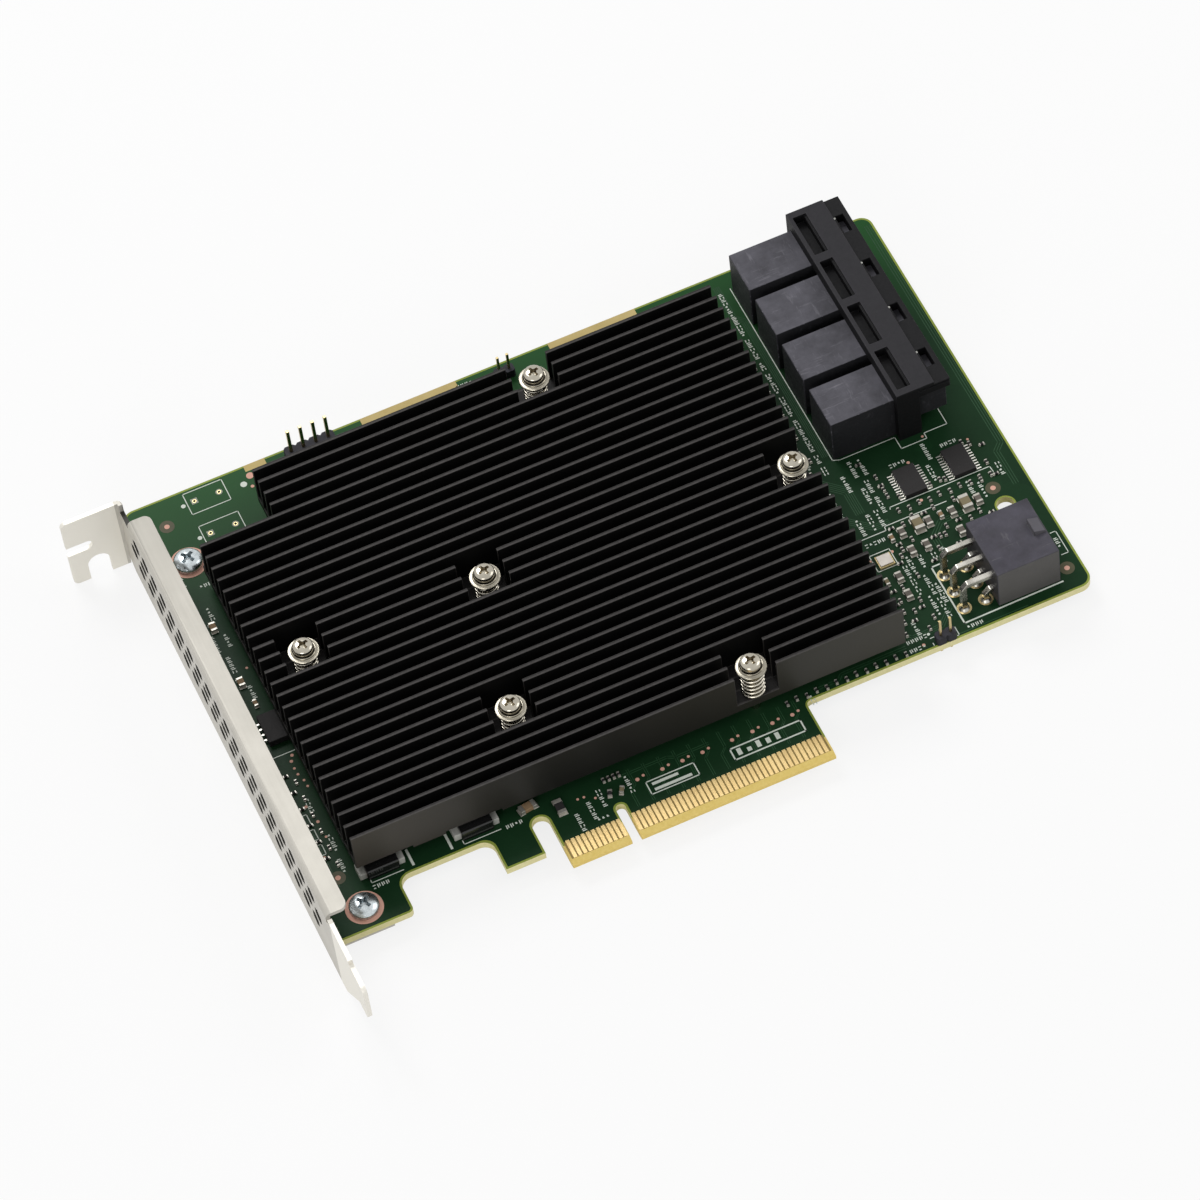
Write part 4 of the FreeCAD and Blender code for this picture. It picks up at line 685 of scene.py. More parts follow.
# short ticks in place of lettering: place, how many, and turn where they don't run upward
tickRows = [
    (77.6, 54.3, 4, 0), (88.2, 54.3, 4, 0), (71.6, 56.7, 5), (69.7, 56.9, 5), (67.2, 54.3, 5), (70.8, 52.0, 4),
    (69.5, 50.1, 5), (70.9, 47.2, 5), (69.4, 44.5, 5), (67.6, 44.2, 5), (65.3, 44.0, 5), (66.2, 39.6, 5, 0),
    (70.0, 32.2, 5), (72.1, 31.9, 4), (74.7, 32.5, 3), (76.7, 32.0, 3), (68.7, 30.4, 5), (68.7, 26.6, 4),
    (71.1, 26.5, 6), (72.2, 23.9, 6), (69.9, 21.8, 6), (71.3, 20.6, 6), (74.6, 14.5, 4, 0), (83.7, 54.4, 5),
    (82.5, 49.4, 5), (94.3, 44.6, 4), (87.4, 43.2, 4), (89.3, 41.6, 5), (96.2, 24.2, 3), (-18.6, 12.9, 4, 0),
    (-7.7, 7.8, 5), (-4.8, 9.2, 5), (-2.2, 10.9, 5), (3.5, 11.4, 5), (-3.6, 6.75, 3, 0), (-45.2, 12.0, 4, 0),
    (41.0, 12.9, 3), (62.6, 44.8, 6), (63.2, 49.0, 6), (63.2, 53.0, 5), (-53.4, 89.0, 4), (-53.4, 84.5, 4),
    (-53.6, 70.6, 5), (-53.6, 66.0, 5), (-45.2, 96.5, 3, 0), (-54.2, 20.2, 4), (-54.6, 33.4, 3), (-52.6, 92.0, 5),
    (-50.6, 81.6, 5), (-52.4, 74.6, 6), (-49.9, 75.0, 4), (-51.4, 69.4, 5), (-50.2, 62.0, 4), (-53.9, 57.2, 4),
    (-50.4, 33.8, 4), (-49.6, 24.4, 5), (-50.0, 19.0, 4), (-48.9, 88.6, 3, 0), (12.8, 109.4, 4, 0),
    (62.9, 14.3, 4, 0), (63.6, 16.3, 5, 0), (64.6, 18.6, 4), (53.0, 108.6, 6, 0), (46.4, 108.6, 3, 0),
]
tick = {  # each shape is two strokes about its middle: a pair of bars, a pair of dashes, a small block
    "pitch": 0.86, "line": 0.2, "columns": (62.6, 64.9), "rows": 16, "first": 57.6, "rowPitch": 3.1, "step": 0.74,
    "shift": 0.7,
    "shapes": ((((-0.2, -0.42), (-0.2, 0.42)), ((0.16, -0.252), (0.16, 0.42))),
               (((-0.28, 0.32), (0.28, 0.32)), ((-0.28, -0.32), (0.168, -0.32))),
               (((-0.196, 0.0), (0.196, 0.0)), ((-0.196, 0.21), (0.112, 0.21)))),
}


def addMark(x, y, turn, kind):
    for ends in tick["shapes"][kind]:
        start, end = [Vector((x, y)) + Matrix.Rotation(math.radians(turn), 2) @ Vector(point) for point in ends]
        addStroke(marks, start, end, tick["line"], *onMask)


for x, y, count, *turn in tickRows:
    turn = turn[0] if turn else 90
    along = Matrix.Rotation(math.radians(turn), 2) @ Vector((1, 0))
    for k in range(count):
        offset = (k - (count - 1) / 2) * tick["pitch"]
        addMark(x + along.x * offset, y + along.y * offset, turn, random.choice((0, 0, 1, 2)))
# the same marks in two long columns between the heat sink and the ports
for k in range(tick["rows"]):
    for side, x in enumerate(tick["columns"]):
        for step in range(random.choice((3, 4))):
            y = tick["first"] + tick["rowPitch"] * k + tick["step"] * step + tick["shift"] * side
            addMark(x, y, 90, random.choice((0, 1, 2)))
addPiece("printedMarks", marks, "ink")

# masked tracks in bundles: way points, number of lines and their spacing
bundles = [
    ([(60.8, 56.4), (63.0, 56.4), (66.6, 52.8), (66.6, 47.0)], 5, 0.42),
    ([(60.8, 47.5), (62.6, 47.5), (67.6, 42.9), (70.6, 42.9)], 4, 0.42),
    ([(97.0, 108.6), (97.0, 50.0), (95.4, 48.4), (95.4, 40.0)], 3, 0.5),
    ([(64.9, 108.4), (64.9, 100.0), (66.4, 98.5), (66.4, 62.0)], 4, 0.36),
    ([(-55.6, 104.0), (-55.6, 92.0), (-53.0, 89.4), (-53.0, 70.0)], 3, 0.5),
    ([(-55.4, 64.0), (-55.4, 30.0), (-52.8, 27.4), (-52.8, 15.0)], 4, 0.45),
    ([(-30.0, 109.2), (-12.0, 109.2), (-9.0, 106.2), (-9.0, 101.0)], 3, 0.45),
    ([(0.0, 102.0), (0.0, 104.5), (3.0, 107.5), (16.5, 107.5)], 4, 0.45),
    ([(26.0, 104.5), (33.0, 104.5), (36.0, 107.5), (60.0, 107.5)], 5, 0.45),
    ([(43.0, 14.7), (47.0, 14.7), (48.0, 15.7), (61.0, 15.7)], 2, 0.5),
    ([(72.0, 20.0), (69.0, 17.0), (63.0, 17.0), (61.0, 19.0)], 3, 0.45),
    ([(76.5, 31.6), (76.5, 36.0), (79.0, 38.5), (85.0, 38.5)], 3, 0.5),
    ([(85.0, 13.9), (70.5, 13.9)], 1, 0.5),
    ([(2.0, 13.6), (12.0, 13.6), (13.4, 12.9), (20.0, 12.9)], 2, 0.45),
]
track = {"width": 0.16, "levels": (sheet, sheet + 0.012)}
tracks = bmesh.new()
for points, count, spacing in bundles:
    points = [Vector(point) for point in points]
    runs = [(end - start).normalized() for start, end in zip(points, points[1:])]
    turns = [cornerNormal(*pair) for pair in zip(runs[:1] + runs, runs + runs[-1:])]
    for k in range(count):
        shift = (k - (count - 1) / 2) * spacing
        moved = [here + turn / (turn.length_squared / 2) * shift for here, turn in zip(points, turns)]
        addPath(tracks, moved, track["width"], *track["levels"])
# length-matched pairs that run up from the edge contacts
pairRow = {"count": 12, "first": 3.2, "pitch": 3.0, "half": 0.2, "width": 0.14, "low": 6.2, "bend": 9.6,
           "stagger": 0.3, "jog": 1.2, "high": 14.4}
for k in range(pairRow["count"]):
    bend, jog = pairRow["bend"] + pairRow["stagger"] * (k % 3), pairRow["jog"]
    for side in (-pairRow["half"], pairRow["half"]):
        x = pairRow["first"] + pairRow["pitch"] * k + side
        addPath(tracks, [(x, pairRow["low"]), (x, bend), (x + jog, bend + jog), (x + jog, pairRow["high"])],
                pairRow["width"], *track["levels"])
addPiece("maskedTracks", tracks, "track")

# copper: via pairs by the edge connector, test points, fiducials and their rings
dots = bmesh.new()
viaPairs = {"columns": (5.9, 10.9, 14.9, 18.9, 24.8, 28.9, 32.9, 36.9),
            "pair": ((-0.66, 11.6, 0.4, 14), (0.66, 11.95, 0.29, 12))}
for x in viaPairs["columns"]:
    for shift, y, radius, sides in viaPairs["pair"]:
        addDisc(dots, x + shift, y, radius, *onMask, sides)
testPoints = [
    (-49.1, 67.5), (-49.0, 45.5), (-49.6, 44.3), (-49.7, 42.6), (-49.6, 41.1), (-49.1, 39.4), (-49.0, 37.9),
    (-51.0, 33.8), (-50.3, 29.8), (-50.2, 26.1), (-3.2, 11.4), (-5.0, 12.5), (78.0, 44.6), (79.6, 53.6),
    (91.8, 53.4), (68.1, 36.4), (63.7, 36.2), (64.2, 14.6), (84.6, 57.9), (-6.2, 12.6), (-52.2, 22.0),
]
for x, y in testPoints:
    addDisc(dots, x, y, random.choice((0.26, 0.33)), *onMask, 12)
fiducial = {"places": ((-50.42, 104.55), (91.08, 40.97), (95.14, 18.16), (-51.69, 16.85)), "dot": 0.52, "ring": 1.45}
rings = bmesh.new()
for x, y in fiducial["places"]:
    addDisc(dots, x, y, fiducial["dot"], board["print"], board["print"] + 0.01)
    addDisc(rings, x, y, fiducial["ring"], *onMask)
for x, y, radius in ((-31.9, 108.46, 0.75), (-32.41, 105.92, 0.35)):
    addDisc(dots, x, y, radius, *onMask, 16)
addBlock(dots, (30.9, 109.0, sheet), (48.9, 109.3, board["print"]))
addPiece("copperDots", dots, "copper")

# bare plated strips along the upper edge
strip = {"spans": ((-32.3, -28.0), (-8.3, 11.5), (30.7, 48.9)), "depth": 1.55, "rim": 0.03}
strips = bmesh.new()
for start, end in strip["spans"]:
    addBlock(strips, (start, upperEdge - strip["depth"], sheet), (end, upperEdge - strip["rim"], board["print"]))
addPiece("bareStrips", strips, "strip")

# pads of the two empty footprints, each with a gold ring and a dark disc painted as the shaded hole, and ring pads
# round the power leads
padPlaces = {"square": ((-43.56, 107.77), (-43.59, 99.39)), "round": ((-38.58, 107.63), (-38.56, 99.23))}
leadPlaces = [(x, 18.7 + 4.2 * k, 0.72) for x in (78.8, 74.4) for k in range(3)]
padSizes = {"half": 0.66, "radius": 0.68, "ring": 0.4, "bore": 0.27, "lead": (0.9, 1.42), "rise": 0.03, "skin": 0.01}


# a flat ring between two radii and two heights
def addRing(bm, x, y, inner, outer, low, high, index=0):
    addTurned(bm, [(inner, low), (outer, low), (outer, high), (inner, high), (inner, low)], x, y, index=index)


pads = bmesh.new()
for kind, places in padPlaces.items():
    for x, y in places:
        if kind == "square":
            half = padSizes["half"]
            addBlock(pads, (x - half, y - half, sheet), (x + half, y + half, board["print"]))
        else:
            addDisc(pads, x, y, padSizes["radius"], *onMask)
        # a gold ring, then a near-black disc as painted shade for the hole
        for layer, key in enumerate(("ring", "bore")):
            low = board["print"] + padSizes["skin"] * layer
            addDisc(pads, x, y, padSizes[key], low, low + padSizes["skin"], 20, layer + 1)
for x, y, _ in leadPlaces:
    addRing(pads, x, y, *padSizes["lead"], sheet, board["print"] + padSizes["rise"], index=1)
addPiece("platedPads", pads, ["dullTin", "pin", "dark"])
addPiece("fiducialRings", rings, "ring")

# copper lands under the two bracket screws
screwHeads = {"x": -49.85, "rows": (8.8, 94.9), "land": 3.55, "bore": 1.7}
lands = bmesh.new()
for y in screwHeads["rows"]:
    addRing(lands, screwHeads["x"], y, screwHeads["bore"], screwHeads["land"], *onMask)
addPiece("screwLands", lands, "copper")
print("board marked")

# chip components: body with two tinned ends, on two pads; a case is its length, width and height
caseSizes = {"0402": (1.0, 0.5, 0.45), "0603": (1.6, 0.8, 0.7), "0805": (2.0, 1.25, 0.9), "1206": (3.2, 1.6, 1.0),
             "1210": (3.1, 1.9, 1.3), "flat0603": (1.6, 0.8, 0.42), "flat1206": (3.2, 1.6, 0.6)}
chipShares = {"end": 0.24, "padReach": 0.22, "padHalf": 0.56, "inset": 0.02, "padHigh": 0.12}
# the larger parts by case and tone: place, and turn where it isn't upright
chipParts = {
    ("1210", "ceramicTan"): [(74.9, 39.6), (84.9, 39.9)],
    ("0805", "ceramicGrey"): [(77.0, 39.3), (71.5, 39.3), (81.9, 39.3), (87.4, 39.7), (71.4, 34.6), (74.4, 34.6),
                              (81.5, 34.6), (66.7, 30.3), (66.5, 25.9)],
    ("0805", "ceramicBrown"): [(-51.35, 64.6), (-51.35, 78.6)],
    ("0603", "ceramicBrown"): [(69.3, 39.0), (79.7, 39.7), (-50.7, 59.1)],
    ("0603", "ceramicTan"): [(64.2, 30.3), (1.7, 10.6, 60)],
    ("0603", "ceramicGrey"): [(-53.2, 61.4)],
    ("1206", "ceramicBrown"): [(-15.1, 14.9, 8)],
}
tiny = [
    (70.2, 41.1), (72.6, 41.0), (74.9, 42.0), (77.1, 41.6), (79.2, 42.0), (83.4, 42.0), (69.9, 37.2), (72.6, 37.2),
    (79.6, 37.0), (82.2, 37.2), (84.4, 36.6), (86.6, 37.3), (68.3, 33.2), (70.0, 29.2), (66.3, 28.0), (64.4, 27.9),
    (64.6, 25.4), (68.0, 24.1), (65.1, 20.2), (68.6, 19.4), (63.2, 20.6), (74.2, 30.9), (76.2, 33.0), (89.9, 43.6),
    (93.0, 43.6), (90.4, 53.2), (72.7, 53.2), (72.7, 51.0), (72.8, 49.9), (72.8, 48.3), (71.0, 57.3), (70.0, 35.8),
    (69.2, 34.6), (76.4, 35.8), (77.6, 35.5), (64.1, 22.9), (63.6, 24.8), (62.3, 18.0), (66.0, 22.2), (67.6, 22.4),
    (66.8, 17.4), (78.6, 35.4), (80.0, 32.4), (89.6, 35.0), (91.6, 52.2), (93.6, 51.0), (92.6, 46.9), (84.0, 46.9),
    (88.4, 36.0),
]


def addChipPart(bm, case, x, y, turn=90, body=1):
    length, width, height = caseSizes[case]
    cap, half, about = length * chipShares["end"], width / 2, (x, y, 0)
    inset, padHalf = chipShares["inset"], width * chipShares["padHalf"]
    reach = length / 2 - cap
    addBlock(bm, (x - reach, y - half + inset, sheet), (x + reach, y + half - inset, sheet + height), body, turn,
             about)
    for side in (-1, 1):
        outer, inner = x + side * length / 2, x + side * reach
        addBlock(bm, (outer, y - half, sheet), (inner, y + half, sheet + height + inset), 0, turn, about)
        pad = outer + side * width * chipShares["padReach"]
        addBlock(bm, (pad, y - padHalf, sheet), (inner, y + padHalf, sheet + chipShares["padHigh"]), 0, turn, about)


chips = bmesh.new()
tones = ["chipEnd", "ceramicTan", "ceramicGrey", "ceramicBrown"]
for (case, tone), places in chipParts.items():
    for place in places:
        addChipPart(chips, case, *place, body=tones.index(tone))
capacitors = addPiece("ceramicCapacitors", chips, tones, edge=0.07)
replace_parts(capacitors, "ceramic_capacitors")

# the smallest parts: single ones, then rows by number, first place, step and the shift of every second one
partRows = [
    (10, (73.2, 44.3), (2.1, 0.0), (0.0, -0.35)),  # beside the long printed line
    (13, (36.4, 14.1), (2.0, 0.0), (0.0, 0.3)),  # terminating parts along the lower edge, by the heat sink
    (4, (-0.4, 14.1), (1.0, 0.0), (0.0, 0.0)),
    (14, (62.2, 59.2), (0.0, 3.1), (1.2, 0.0)),  # between the heat sink and the ports
]
small = bmesh.new()
addChipPart(small, "flat1206", -9.8, 12.4)
addChipPart(small, "flat0603", -0.5, 11.0, 70)
for number, (x, y) in enumerate(tiny):
    addChipPart(small, "0402", x, y, 90 if number % 3 else 0)
for count, (x, y), (stepX, stepY), (shiftX, shiftY) in partRows:
    for k in range(count):
        addChipPart(small, "0402", x + stepX * k + shiftX * (k % 2), y + stepY * k + shiftY * (k % 2))
# a second line beside the printed one, with gaps
gapRow = {"steps": (1, 2, 4, 5, 7, 8), "first": (72.6, 47.0), "pitch": 2.1, "shift": 0.2}
x, y = gapRow["first"]
for k in gapRow["steps"]:
    addChipPart(small, "0402", x + gapRow["pitch"] * k, y + gapRow["shift"] * (k % 2))
# along the bracket side of the heat sink, every second one turned
turnedRow = {"count": 12, "first": (-50.6, 19.5), "pitch": 2.0, "shift": 1.3}
x, y = turnedRow["first"]
for k in range(turnedRow["count"]):
    addChipPart(small, "0402", x - turnedRow["shift"] * (k % 2), y + turnedRow["pitch"] * k, 0 if k % 2 else 90)
addPiece("smallResistors", small, ["chipEnd", "chip"], edge=0.03)
print("chip parts placed")

# screws: turned heads with a cross recess, whose arms narrow toward its floor; the recess faces take a darker second
# finish as painted shade
recessShape = {"over": 0.1, "narrow": (0.45, 0.7), "tip": 0.25, "bowl": (0.85, 1.05), "sides": 16}


def screwMesh(name, spec):
    body, cutter = bmesh.new(), bmesh.new()
    addTurned(body, spec["profile"], count=spec["sides"])
    over, (narrowX, narrowY), (bowlLow, bowlHigh) = [recessShape[key] for key in ("over", "narrow", "bowl")]
    top, floor, arm, wide = spec["top"] + over, spec["top"] - spec["recess"], spec["arm"], spec["slot"]
    for turn in (0, 90):
        verts = addBlock(cutter, (-arm, -wide / 2, floor), (arm, wide / 2, top))
        for vert in verts:
            if vert.co.z < (floor + top) / 2:
                vert.co.x *= narrowX
                vert.co.y *= narrowY
        spin(cutter, verts, math.radians(turn + spec["turn"]))
    bowl = [(0, floor - recessShape["tip"]), (wide * bowlLow, floor + over), (wide * bowlHigh, top), (0, top)]
    addTurned(cutter, bowl, count=recessShape["sides"])
    # the recess faces take the darker second finish, a painted shade
    paint(cutter.verts, 1)
    whole, knife = addObject(name + "Whole", toMesh(name, body)), addObject(name + "Knife", toMesh(name, cutter))
    for item in (whole, knife):
        for key in spec["finish"]:
            item.data.materials.append(finishes[key])
    cut = whole.modifiers.new("recess", "BOOLEAN")
    cut.object = knife
    cut.solver = "EXACT"
    cut.use_self = True
    bpy.context.view_layer.update()
    made = bpy.data.meshes.new_from_object(whole.evaluated_get(bpy.context.evaluated_depsgraph_get()))
    for item in (whole, knife):
        bpy.data.objects.remove(item)
    return made


def addScrews(name, spec, places):
    mesh, bm = screwMesh(name + "Shape", spec), bmesh.new()
    for place in places:
        start = len(bm.verts)
        bm.from_mesh(mesh)
        bm.verts.ensure_lookup_table()
        bmesh.ops.translate(bm, vec=place, verts=bm.verts[start:])
    return addPiece(name, bm, spec["finish"], smooth=35)


springLow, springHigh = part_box("heat_sink_springs")
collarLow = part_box("spring_collars")[0]
headLow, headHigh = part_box("spring_screws")
springScrew = {
    "sides": 40, "top": 1.6, "recess": 1.1, "arm": 1.3, "slot": 0.62, "turn": 20, "finish": ["nickel", "recess"],
    "raise": 1.4,
    "profile": [(0, -16.4), (0.85, -16.4), (1.0, -16.2), (1.0, -2.0), (1.0, 0.0), (1.8, 0.0), (1.95, 0.15),
                (1.95, 0.95), (1.88, 1.14), (1.7, 1.3), (1.3, 1.46), (0.7, 1.57), (0, 1.6)],
    "places": [(57.15, 54.69), (22.5, 95.51), (31.2, 16.79), (-3.9, 57.61), (-40.1, 57.61), (-11.3, 28.45)],
}
headBase = headHigh.z / mm - springScrew["top"] + springScrew["raise"]
tip = headLow.z / mm - headBase
springScrew["profile"] = [(radius, max(height, tip)) for radius, height in springScrew["profile"]]
heads = addScrews("springScrews", springScrew, [(x, y, headBase) for x, y in springScrew["places"]])
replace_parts(heads, "spring_screws")

collar = {
    "seat": collarLow.z / mm + springScrew["raise"], "groove": (1.92, 2.1, 0.46, 0.5),
    "profile": [(1.06, 0.0), (2.88, 0.0), (2.95, 0.07), (2.95, 0.40), (2.86, 0.5), (2.45, 0.5), (2.36, 0.54),
                (2.33, 0.8), (2.24, 0.88), (2.14, 0.86), (2.12, 0.45), (1.9, 0.42), (1.9, 0.9), (1.06, 0.9),
                (1.06, 0.0)],
}
collars = bmesh.new()
inner, outer, low, high = collar["groove"]
for x, y in springScrew["places"]:
    addTurned(collars, collar["profile"], x, y, collar["seat"])
    # the groove's floor takes the near-black finish as painted shade
    addRing(collars, x, y, inner, outer, collar["seat"] + low, collar["seat"] + high, 1)
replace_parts(addPiece("springCollars", collars, ["brim", "dark"], smooth=30), "spring_collars")

# springs: round wire with flat end turns, wound between the heat sink and the collar
coil = {"radius": 2.1, "wire": 0.27, "turns": 6.6, "flat": 0.6, "perTurn": 20, "sides": 8}
springFloor = springLow.z / mm + coil["wire"]
springTop = springHigh.z / mm - coil["wire"] + springScrew["raise"]
springs = bmesh.new()
for x, y in springScrew["places"]:
    previous = None
    total = int(coil["turns"] * coil["perTurn"])
    for k in range(total + 1):
        wound = coil["turns"] * k / total
        rise = min(max((wound - coil["flat"]) / (coil["turns"] - 2 * coil["flat"]), 0.0), 1.0)
        angle = 2 * math.pi * wound + x
        height = springFloor + (springTop - springFloor) * rise
        ring = []
        for reach, lift in circleLoop(coil["radius"], 0.0, coil["wire"], coil["sides"]):
            ring.append(springs.verts.new((x + reach * math.cos(angle), y + reach * math.sin(angle), height + lift)))
        if previous:
            for side in range(coil["sides"]):
                following = (side + 1) % coil["sides"]
                springs.faces.new((previous[side], previous[following], ring[following], ring[side]))
        else:
            springs.faces.new(ring)
        previous = ring
    springs.faces.new(previous)
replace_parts(addPiece("heatSinkSprings", springs, "wire", smooth=60), "heat_sink_springs")

domeSteps = 8
zincScrew = {
    "sides": 48, "top": 2.0, "recess": 1.35, "arm": 1.65, "slot": 0.75, "turn": 35, "finish": ["zinc", "zincRecess"],
    "profile": [(0, -3.7), (1.2, -3.7), (1.45, -3.4), (1.45, 0.0), (2.68, 0.0), (2.8, 0.15), (2.8, 0.75),
                *((2.8 * math.cos(math.pi / 2 * k / domeSteps), 0.75 + 1.25 * math.sin(math.pi / 2 * k / domeSteps))
                  for k in range(domeSteps + 1))],
}
heads = addScrews("bracketScrews", zincScrew, [(screwHeads["x"], y, 0.0) for y in screwHeads["rows"]])
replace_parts(heads, "bracket_screws")
print("screws and springs made")

# solder at the pins and at the power leads, both faces; a header is its first pin, pitch, number and pin radius
headers = ((-23.15, 108.4, 2.54, 4, 0.42), (19.5, 107.75, 2.0, 2, 0.32), (67.4, 14.0, 2.0, 2, 0.32))
pinPlaces = [(x + pitch * k, y, radius) for x, y, pitch, count, radius in headers for k in range(count)]
solder = {"bore": 0.9, "peak": 0.85, "shoulder": (1.1, 0.45), "skirt": (1.45, 0.1), "foot": 1.5, "sides": 20}
joints = bmesh.new()
for x, y, radius in pinPlaces + leadPlaces:
    bore, foot, (shoulder, rise), (skirt, brim) = [solder[key] for key in ("bore", "foot", "shoulder", "skirt")]
    cone = [(radius * bore, radius * solder["peak"]), (radius * shoulder, radius * rise), (radius * skirt, brim),
            (radius * foot, 0.0), (radius * bore, 0.0), (radius * bore, radius * solder["peak"])]
    addTurned(joints, [(reach, under - sheet - height) for reach, height in cone], x, y, 0, solder["sides"])
    if radius >= leadPlaces[0][2]:  # only the power leads show solder on the component side
        addTurned(joints, [(reach, sheet + height) for reach, height in cone], x, y, 0, solder["sides"])
addPiece("solderJoints", joints, "tin", smooth=50)

# solder side: decoupling parts under the controller, and vias
low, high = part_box("raid_processor")
rear = {
    "x": (low.x + high.x) / 2 / mm, "y": (low.y + high.y) / 2 / mm, "pitch": 2.6, "half": 4, "rings": (1, 3, 4),
    "via": 0.26, "row": (10, 4.0, 3.4), "rowVia": (8.6, 0.5, 0.3), "rowPart": 18.5,
    "larger": ((62.0, 60.0), (62.0, 66.0), (62.0, 72.0), (70.0, 48.0), (76.0, 48.0), (82.0, 48.0), (-30.0, 30.0),
               (-26.0, 30.0)),
}
rearParts, rearDots = bmesh.new(), bmesh.new()
for row in range(-rear["half"], rear["half"] + 1):
    for column in range(-rear["half"], rear["half"] + 1):
        x, y = rear["x"] + column * rear["pitch"], rear["y"] + row * rear["pitch"]
        if max(abs(row), abs(column)) in rear["rings"]:
            addChipPart(rearParts, "0402", x, y, 90 if (row + column) % 2 else 0)
        addDisc(rearDots, x + rear["pitch"] / 2, y + rear["pitch"] / 2, rear["via"], *onMask, 12)
count, first, pitch = rear["row"]
y, stagger, radius = rear["rowVia"]
for k in range(count):
    addDisc(rearDots, first + pitch * k, y + stagger * (k % 2), radius, *onMask, 12)
    addChipPart(rearParts, "0603", first + pitch * k, rear["rowPart"])
for x, y in rear["larger"]:
    addChipPart(rearParts, "0805", x, y)
for shape in (rearParts, rearDots):
    for vert in shape.verts:
        vert.co.z = under - vert.co.z
addPiece("rearParts", rearParts, ["chipEnd", "ceramicGrey"], edge=0.03)
addPiece("rearDots", rearDots, "copper")

# moulded capacitors: glossy cases between broad pale terminals
mouldedCap = {"length": 8.85, "terminal": 1.3, "lap": 0.1, "starts": (-48.25, -29.7), "endHeight": 1.7}
low, high = [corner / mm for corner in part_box("moulded_capacitors")]
middle, third = (low.y + high.y) / 2, (high.y - low.y) / 3
cases, ends = bmesh.new(), bmesh.new()
for start in mouldedCap["starts"]:
    end, cap = start + mouldedCap["length"], mouldedCap["terminal"]
    addBlock(cases, (start + cap, low.y, sheet), (end - cap, high.y, high.z))
    for outer, inner in ((start, start + cap + mouldedCap["lap"]), (end, end - cap - mouldedCap["lap"])):
        addBlock(ends, (outer, middle - third, sheet), (inner, middle + third, mouldedCap["endHeight"]))
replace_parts(addPiece("mouldedCapacitors", cases, "capCase", edge=0.22), "moulded_capacitors")
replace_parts(addPiece("capacitorTerminals", ends, "capEnd", edge=0.15), "capacitor_terminals")

# header bases: one eight-sided cell for each pin, in one moulding
cornerShare = 0.18
bases = bmesh.new()
for x, y, pitch, count, _ in headers:
    half, cut = pitch / 2, pitch * cornerShare
    front, back = [], []
    for k in range(count):
        start, end = x + pitch * k - half, x + pitch * k + half
        front += [(start + cut, y - half), (end - cut, y - half), (end, y - half + cut)]
        back = [(end - cut, y + half), (start + cut, y + half), (start, y + half - cut)] + back
    outline = front + [(end, y + half - cut)] + back + [(x - half, y - half + cut)]
    lower, upper = [[bases.verts.new((*point, level)) for point in outline] for level in (sheet, pitch)]
    bases.faces.new(lower[::-1])
    bases.faces.new(upper)
    for number in range(len(outline)):
        following = (number + 1) % len(outline)
        bases.faces.new((lower[number], lower[following], upper[following], upper[number]))
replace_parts(addPiece("headerBases", bases, "header", edge=0.06), "header_bases")

# a pale disc behind each latch recess of the cover, a painted highlight
glintDisc = {"back": 2.95, "side": 1.7, "radius": 0.24, "levels": (0.75, 0.62)}
low, high = [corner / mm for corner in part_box("port_bezel")]
glintDiscs = bmesh.new()
for name in shells:
    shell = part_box(name)
    addDisc(glintDiscs, high.x - glintDisc["back"], (shell[0].y + shell[1].y) / 2 / mm + glintDisc["side"], glintDisc["radius"],
            high.z - glintDisc["levels"][0], high.z - glintDisc["levels"][1], 12)
addPiece("coverGlintDiscs", glintDiscs, "capEnd")

# crystal: a gold rim round a bright lid
lidSpec = {"inset": 0.22, "high": 0.25}
low, high = [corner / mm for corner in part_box("crystal")]
inset, lidFoot = lidSpec["inset"], high.z - lidSpec["high"]
case = bmesh.new()
addBlock(case, (low.x, low.y, 0.0), (high.x, high.y, lidFoot))
addBlock(case, (low.x + inset, low.y + inset, lidFoot), (high.x - inset, high.y - inset, high.z), 1)
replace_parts(addPiece("crystalCase", case, ["pin", "lid"], edge=0.08), "crystal")

# leads of the eight-lead chip beside the bracket: a shoulder, a foot and the drop between them
lead = {"pitch": 1.27, "half": 0.2, "runs": ((0.0, 0.5, 0.5, 0.72), (0.4, 1.0, sheet, 0.22), (0.4, 0.6, sheet, 0.72))}
low, high = [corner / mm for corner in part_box("flash_chip")]
legs = bmesh.new()
for k in range(4):
    y = (low.y + high.y) / 2 + (k - 1.5) * lead["pitch"]
    for side, edge in ((-1, low.x), (1, high.x)):
        for near, far, foot, head in lead["runs"]:
            addBlock(legs, (edge + side * near, y - lead["half"], foot), (edge + side * far, y + lead["half"], head))
addPiece("flashChipLeads", legs, "tin", edge=0.04)
print("solder and leads made")


# 1 for what the camera, gloss and glass see directly
def seenDirectly(tree):
    rays = addNode(tree, "LightPath").outputs
    through = addMath(tree, "MAXIMUM", rays["Is Glossy Ray"], rays["Is Transmission Ray"])
    return addMath(tree, "MAXIMUM", rays["Is Camera Ray"], through)


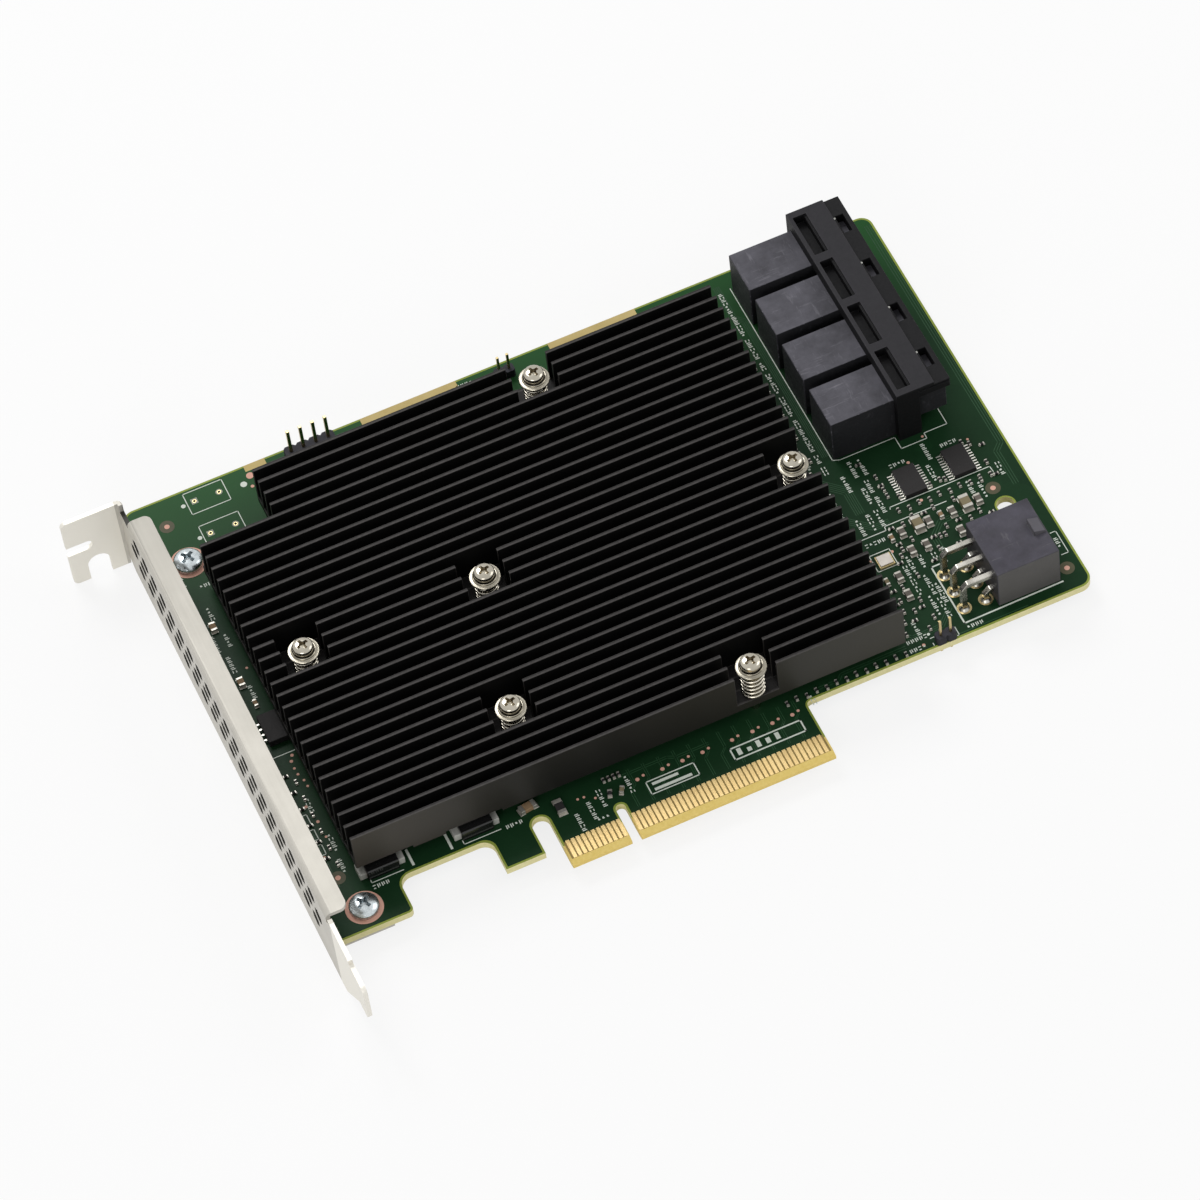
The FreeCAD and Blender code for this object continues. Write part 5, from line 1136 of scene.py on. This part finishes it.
# floor, light and camera
floorSpec = {"half": 2.5, "level": cadBox[0][2], "tone": (0.9, 0.9, 0.9), "rough": 0.9, "glowShare": 0.82}
half, level = floorSpec["half"], floorSpec["level"]
floorMesh = bpy.data.meshes.new("floor")
floorMesh.from_pydata([(-half, -half, level), (half, -half, level), (half, half, level), (-half, half, level)], [],
                      [(0, 1, 2, 3)])
floor = addObject("floor", floorMesh)
paper = bpy.data.materials.new("floorPaper")
paper.use_nodes = True
tree = paper.node_tree
shader = tree.nodes["Principled BSDF"]
feed(tree, floorSpec["tone"], shader.inputs["Base Color"])
feed(tree, floorSpec["rough"], shader.inputs["Roughness"])
glow = addNode(tree, "Emission", {"Color": (1.0, 1.0, 1.0)})
share = times(tree, seenDirectly(tree), floorSpec["glowShare"])
blend = addNode(tree, "MixShader", {0: share, 1: shader.outputs[0], 2: glow.outputs[0]})
feed(tree, blend.outputs[0], tree.nodes["Material Output"].inputs["Surface"])
floorMesh.materials.append(paper)

room = {"ambient": 0.42, "seen": 1.0}
world = bpy.data.worlds.new("room")
scene.world = world
world.use_nodes = True
back = world.node_tree.nodes["Background"].inputs
feed(world.node_tree, (1.0, 1.0, 1.0), back["Color"])
strength = mapRange(world.node_tree, seenDirectly(world.node_tree), room["ambient"], room["seen"])
feed(world.node_tree, strength, back["Strength"])

centre = (Vector(cadBox[0]) + Vector(cadBox[1])) / 2
lamps = {
    "key": {"place": (-0.12, 0.66, 0.76), "size": 0.42, "power": 4.2},
    "side": {"place": (0.75, -0.15, 0.6), "size": 0.5, "power": 1.7},
    "front": {"place": (-0.5, -0.65, 0.4), "size": 0.4, "power": 2.0},
}
for name, spec in lamps.items():
    light = bpy.data.lights.new(name, "AREA")
    light.shape = "SQUARE"
    light.size = spec["size"]
    light.energy = spec["power"]
    lamp = addObject(name, light)
    lamp.location = centre + Vector(spec["place"])
    lamp.rotation_euler = (centre - lamp.location).to_track_quat("-Z", "Y").to_euler()

view = {"place": (-0.18662, -0.61179, 0.95418), "turn": (35.699, 4.996, -23.852), "lens": 191.23, "sensor": 36.0,
        "clip": (0.05, 20.0)}
camera = addObject("camera", bpy.data.cameras.new("camera"))
camera.data.sensor_width = view["sensor"]
camera.data.lens = view["lens"]
camera.data.clip_start, camera.data.clip_end = view["clip"]
camera.location = view["place"]
camera.rotation_euler = Euler([math.radians(angle) for angle in view["turn"]], "XYZ")
scene.camera = camera
scene.view_settings.view_transform = "Standard"
print("floor, lamps and camera set")
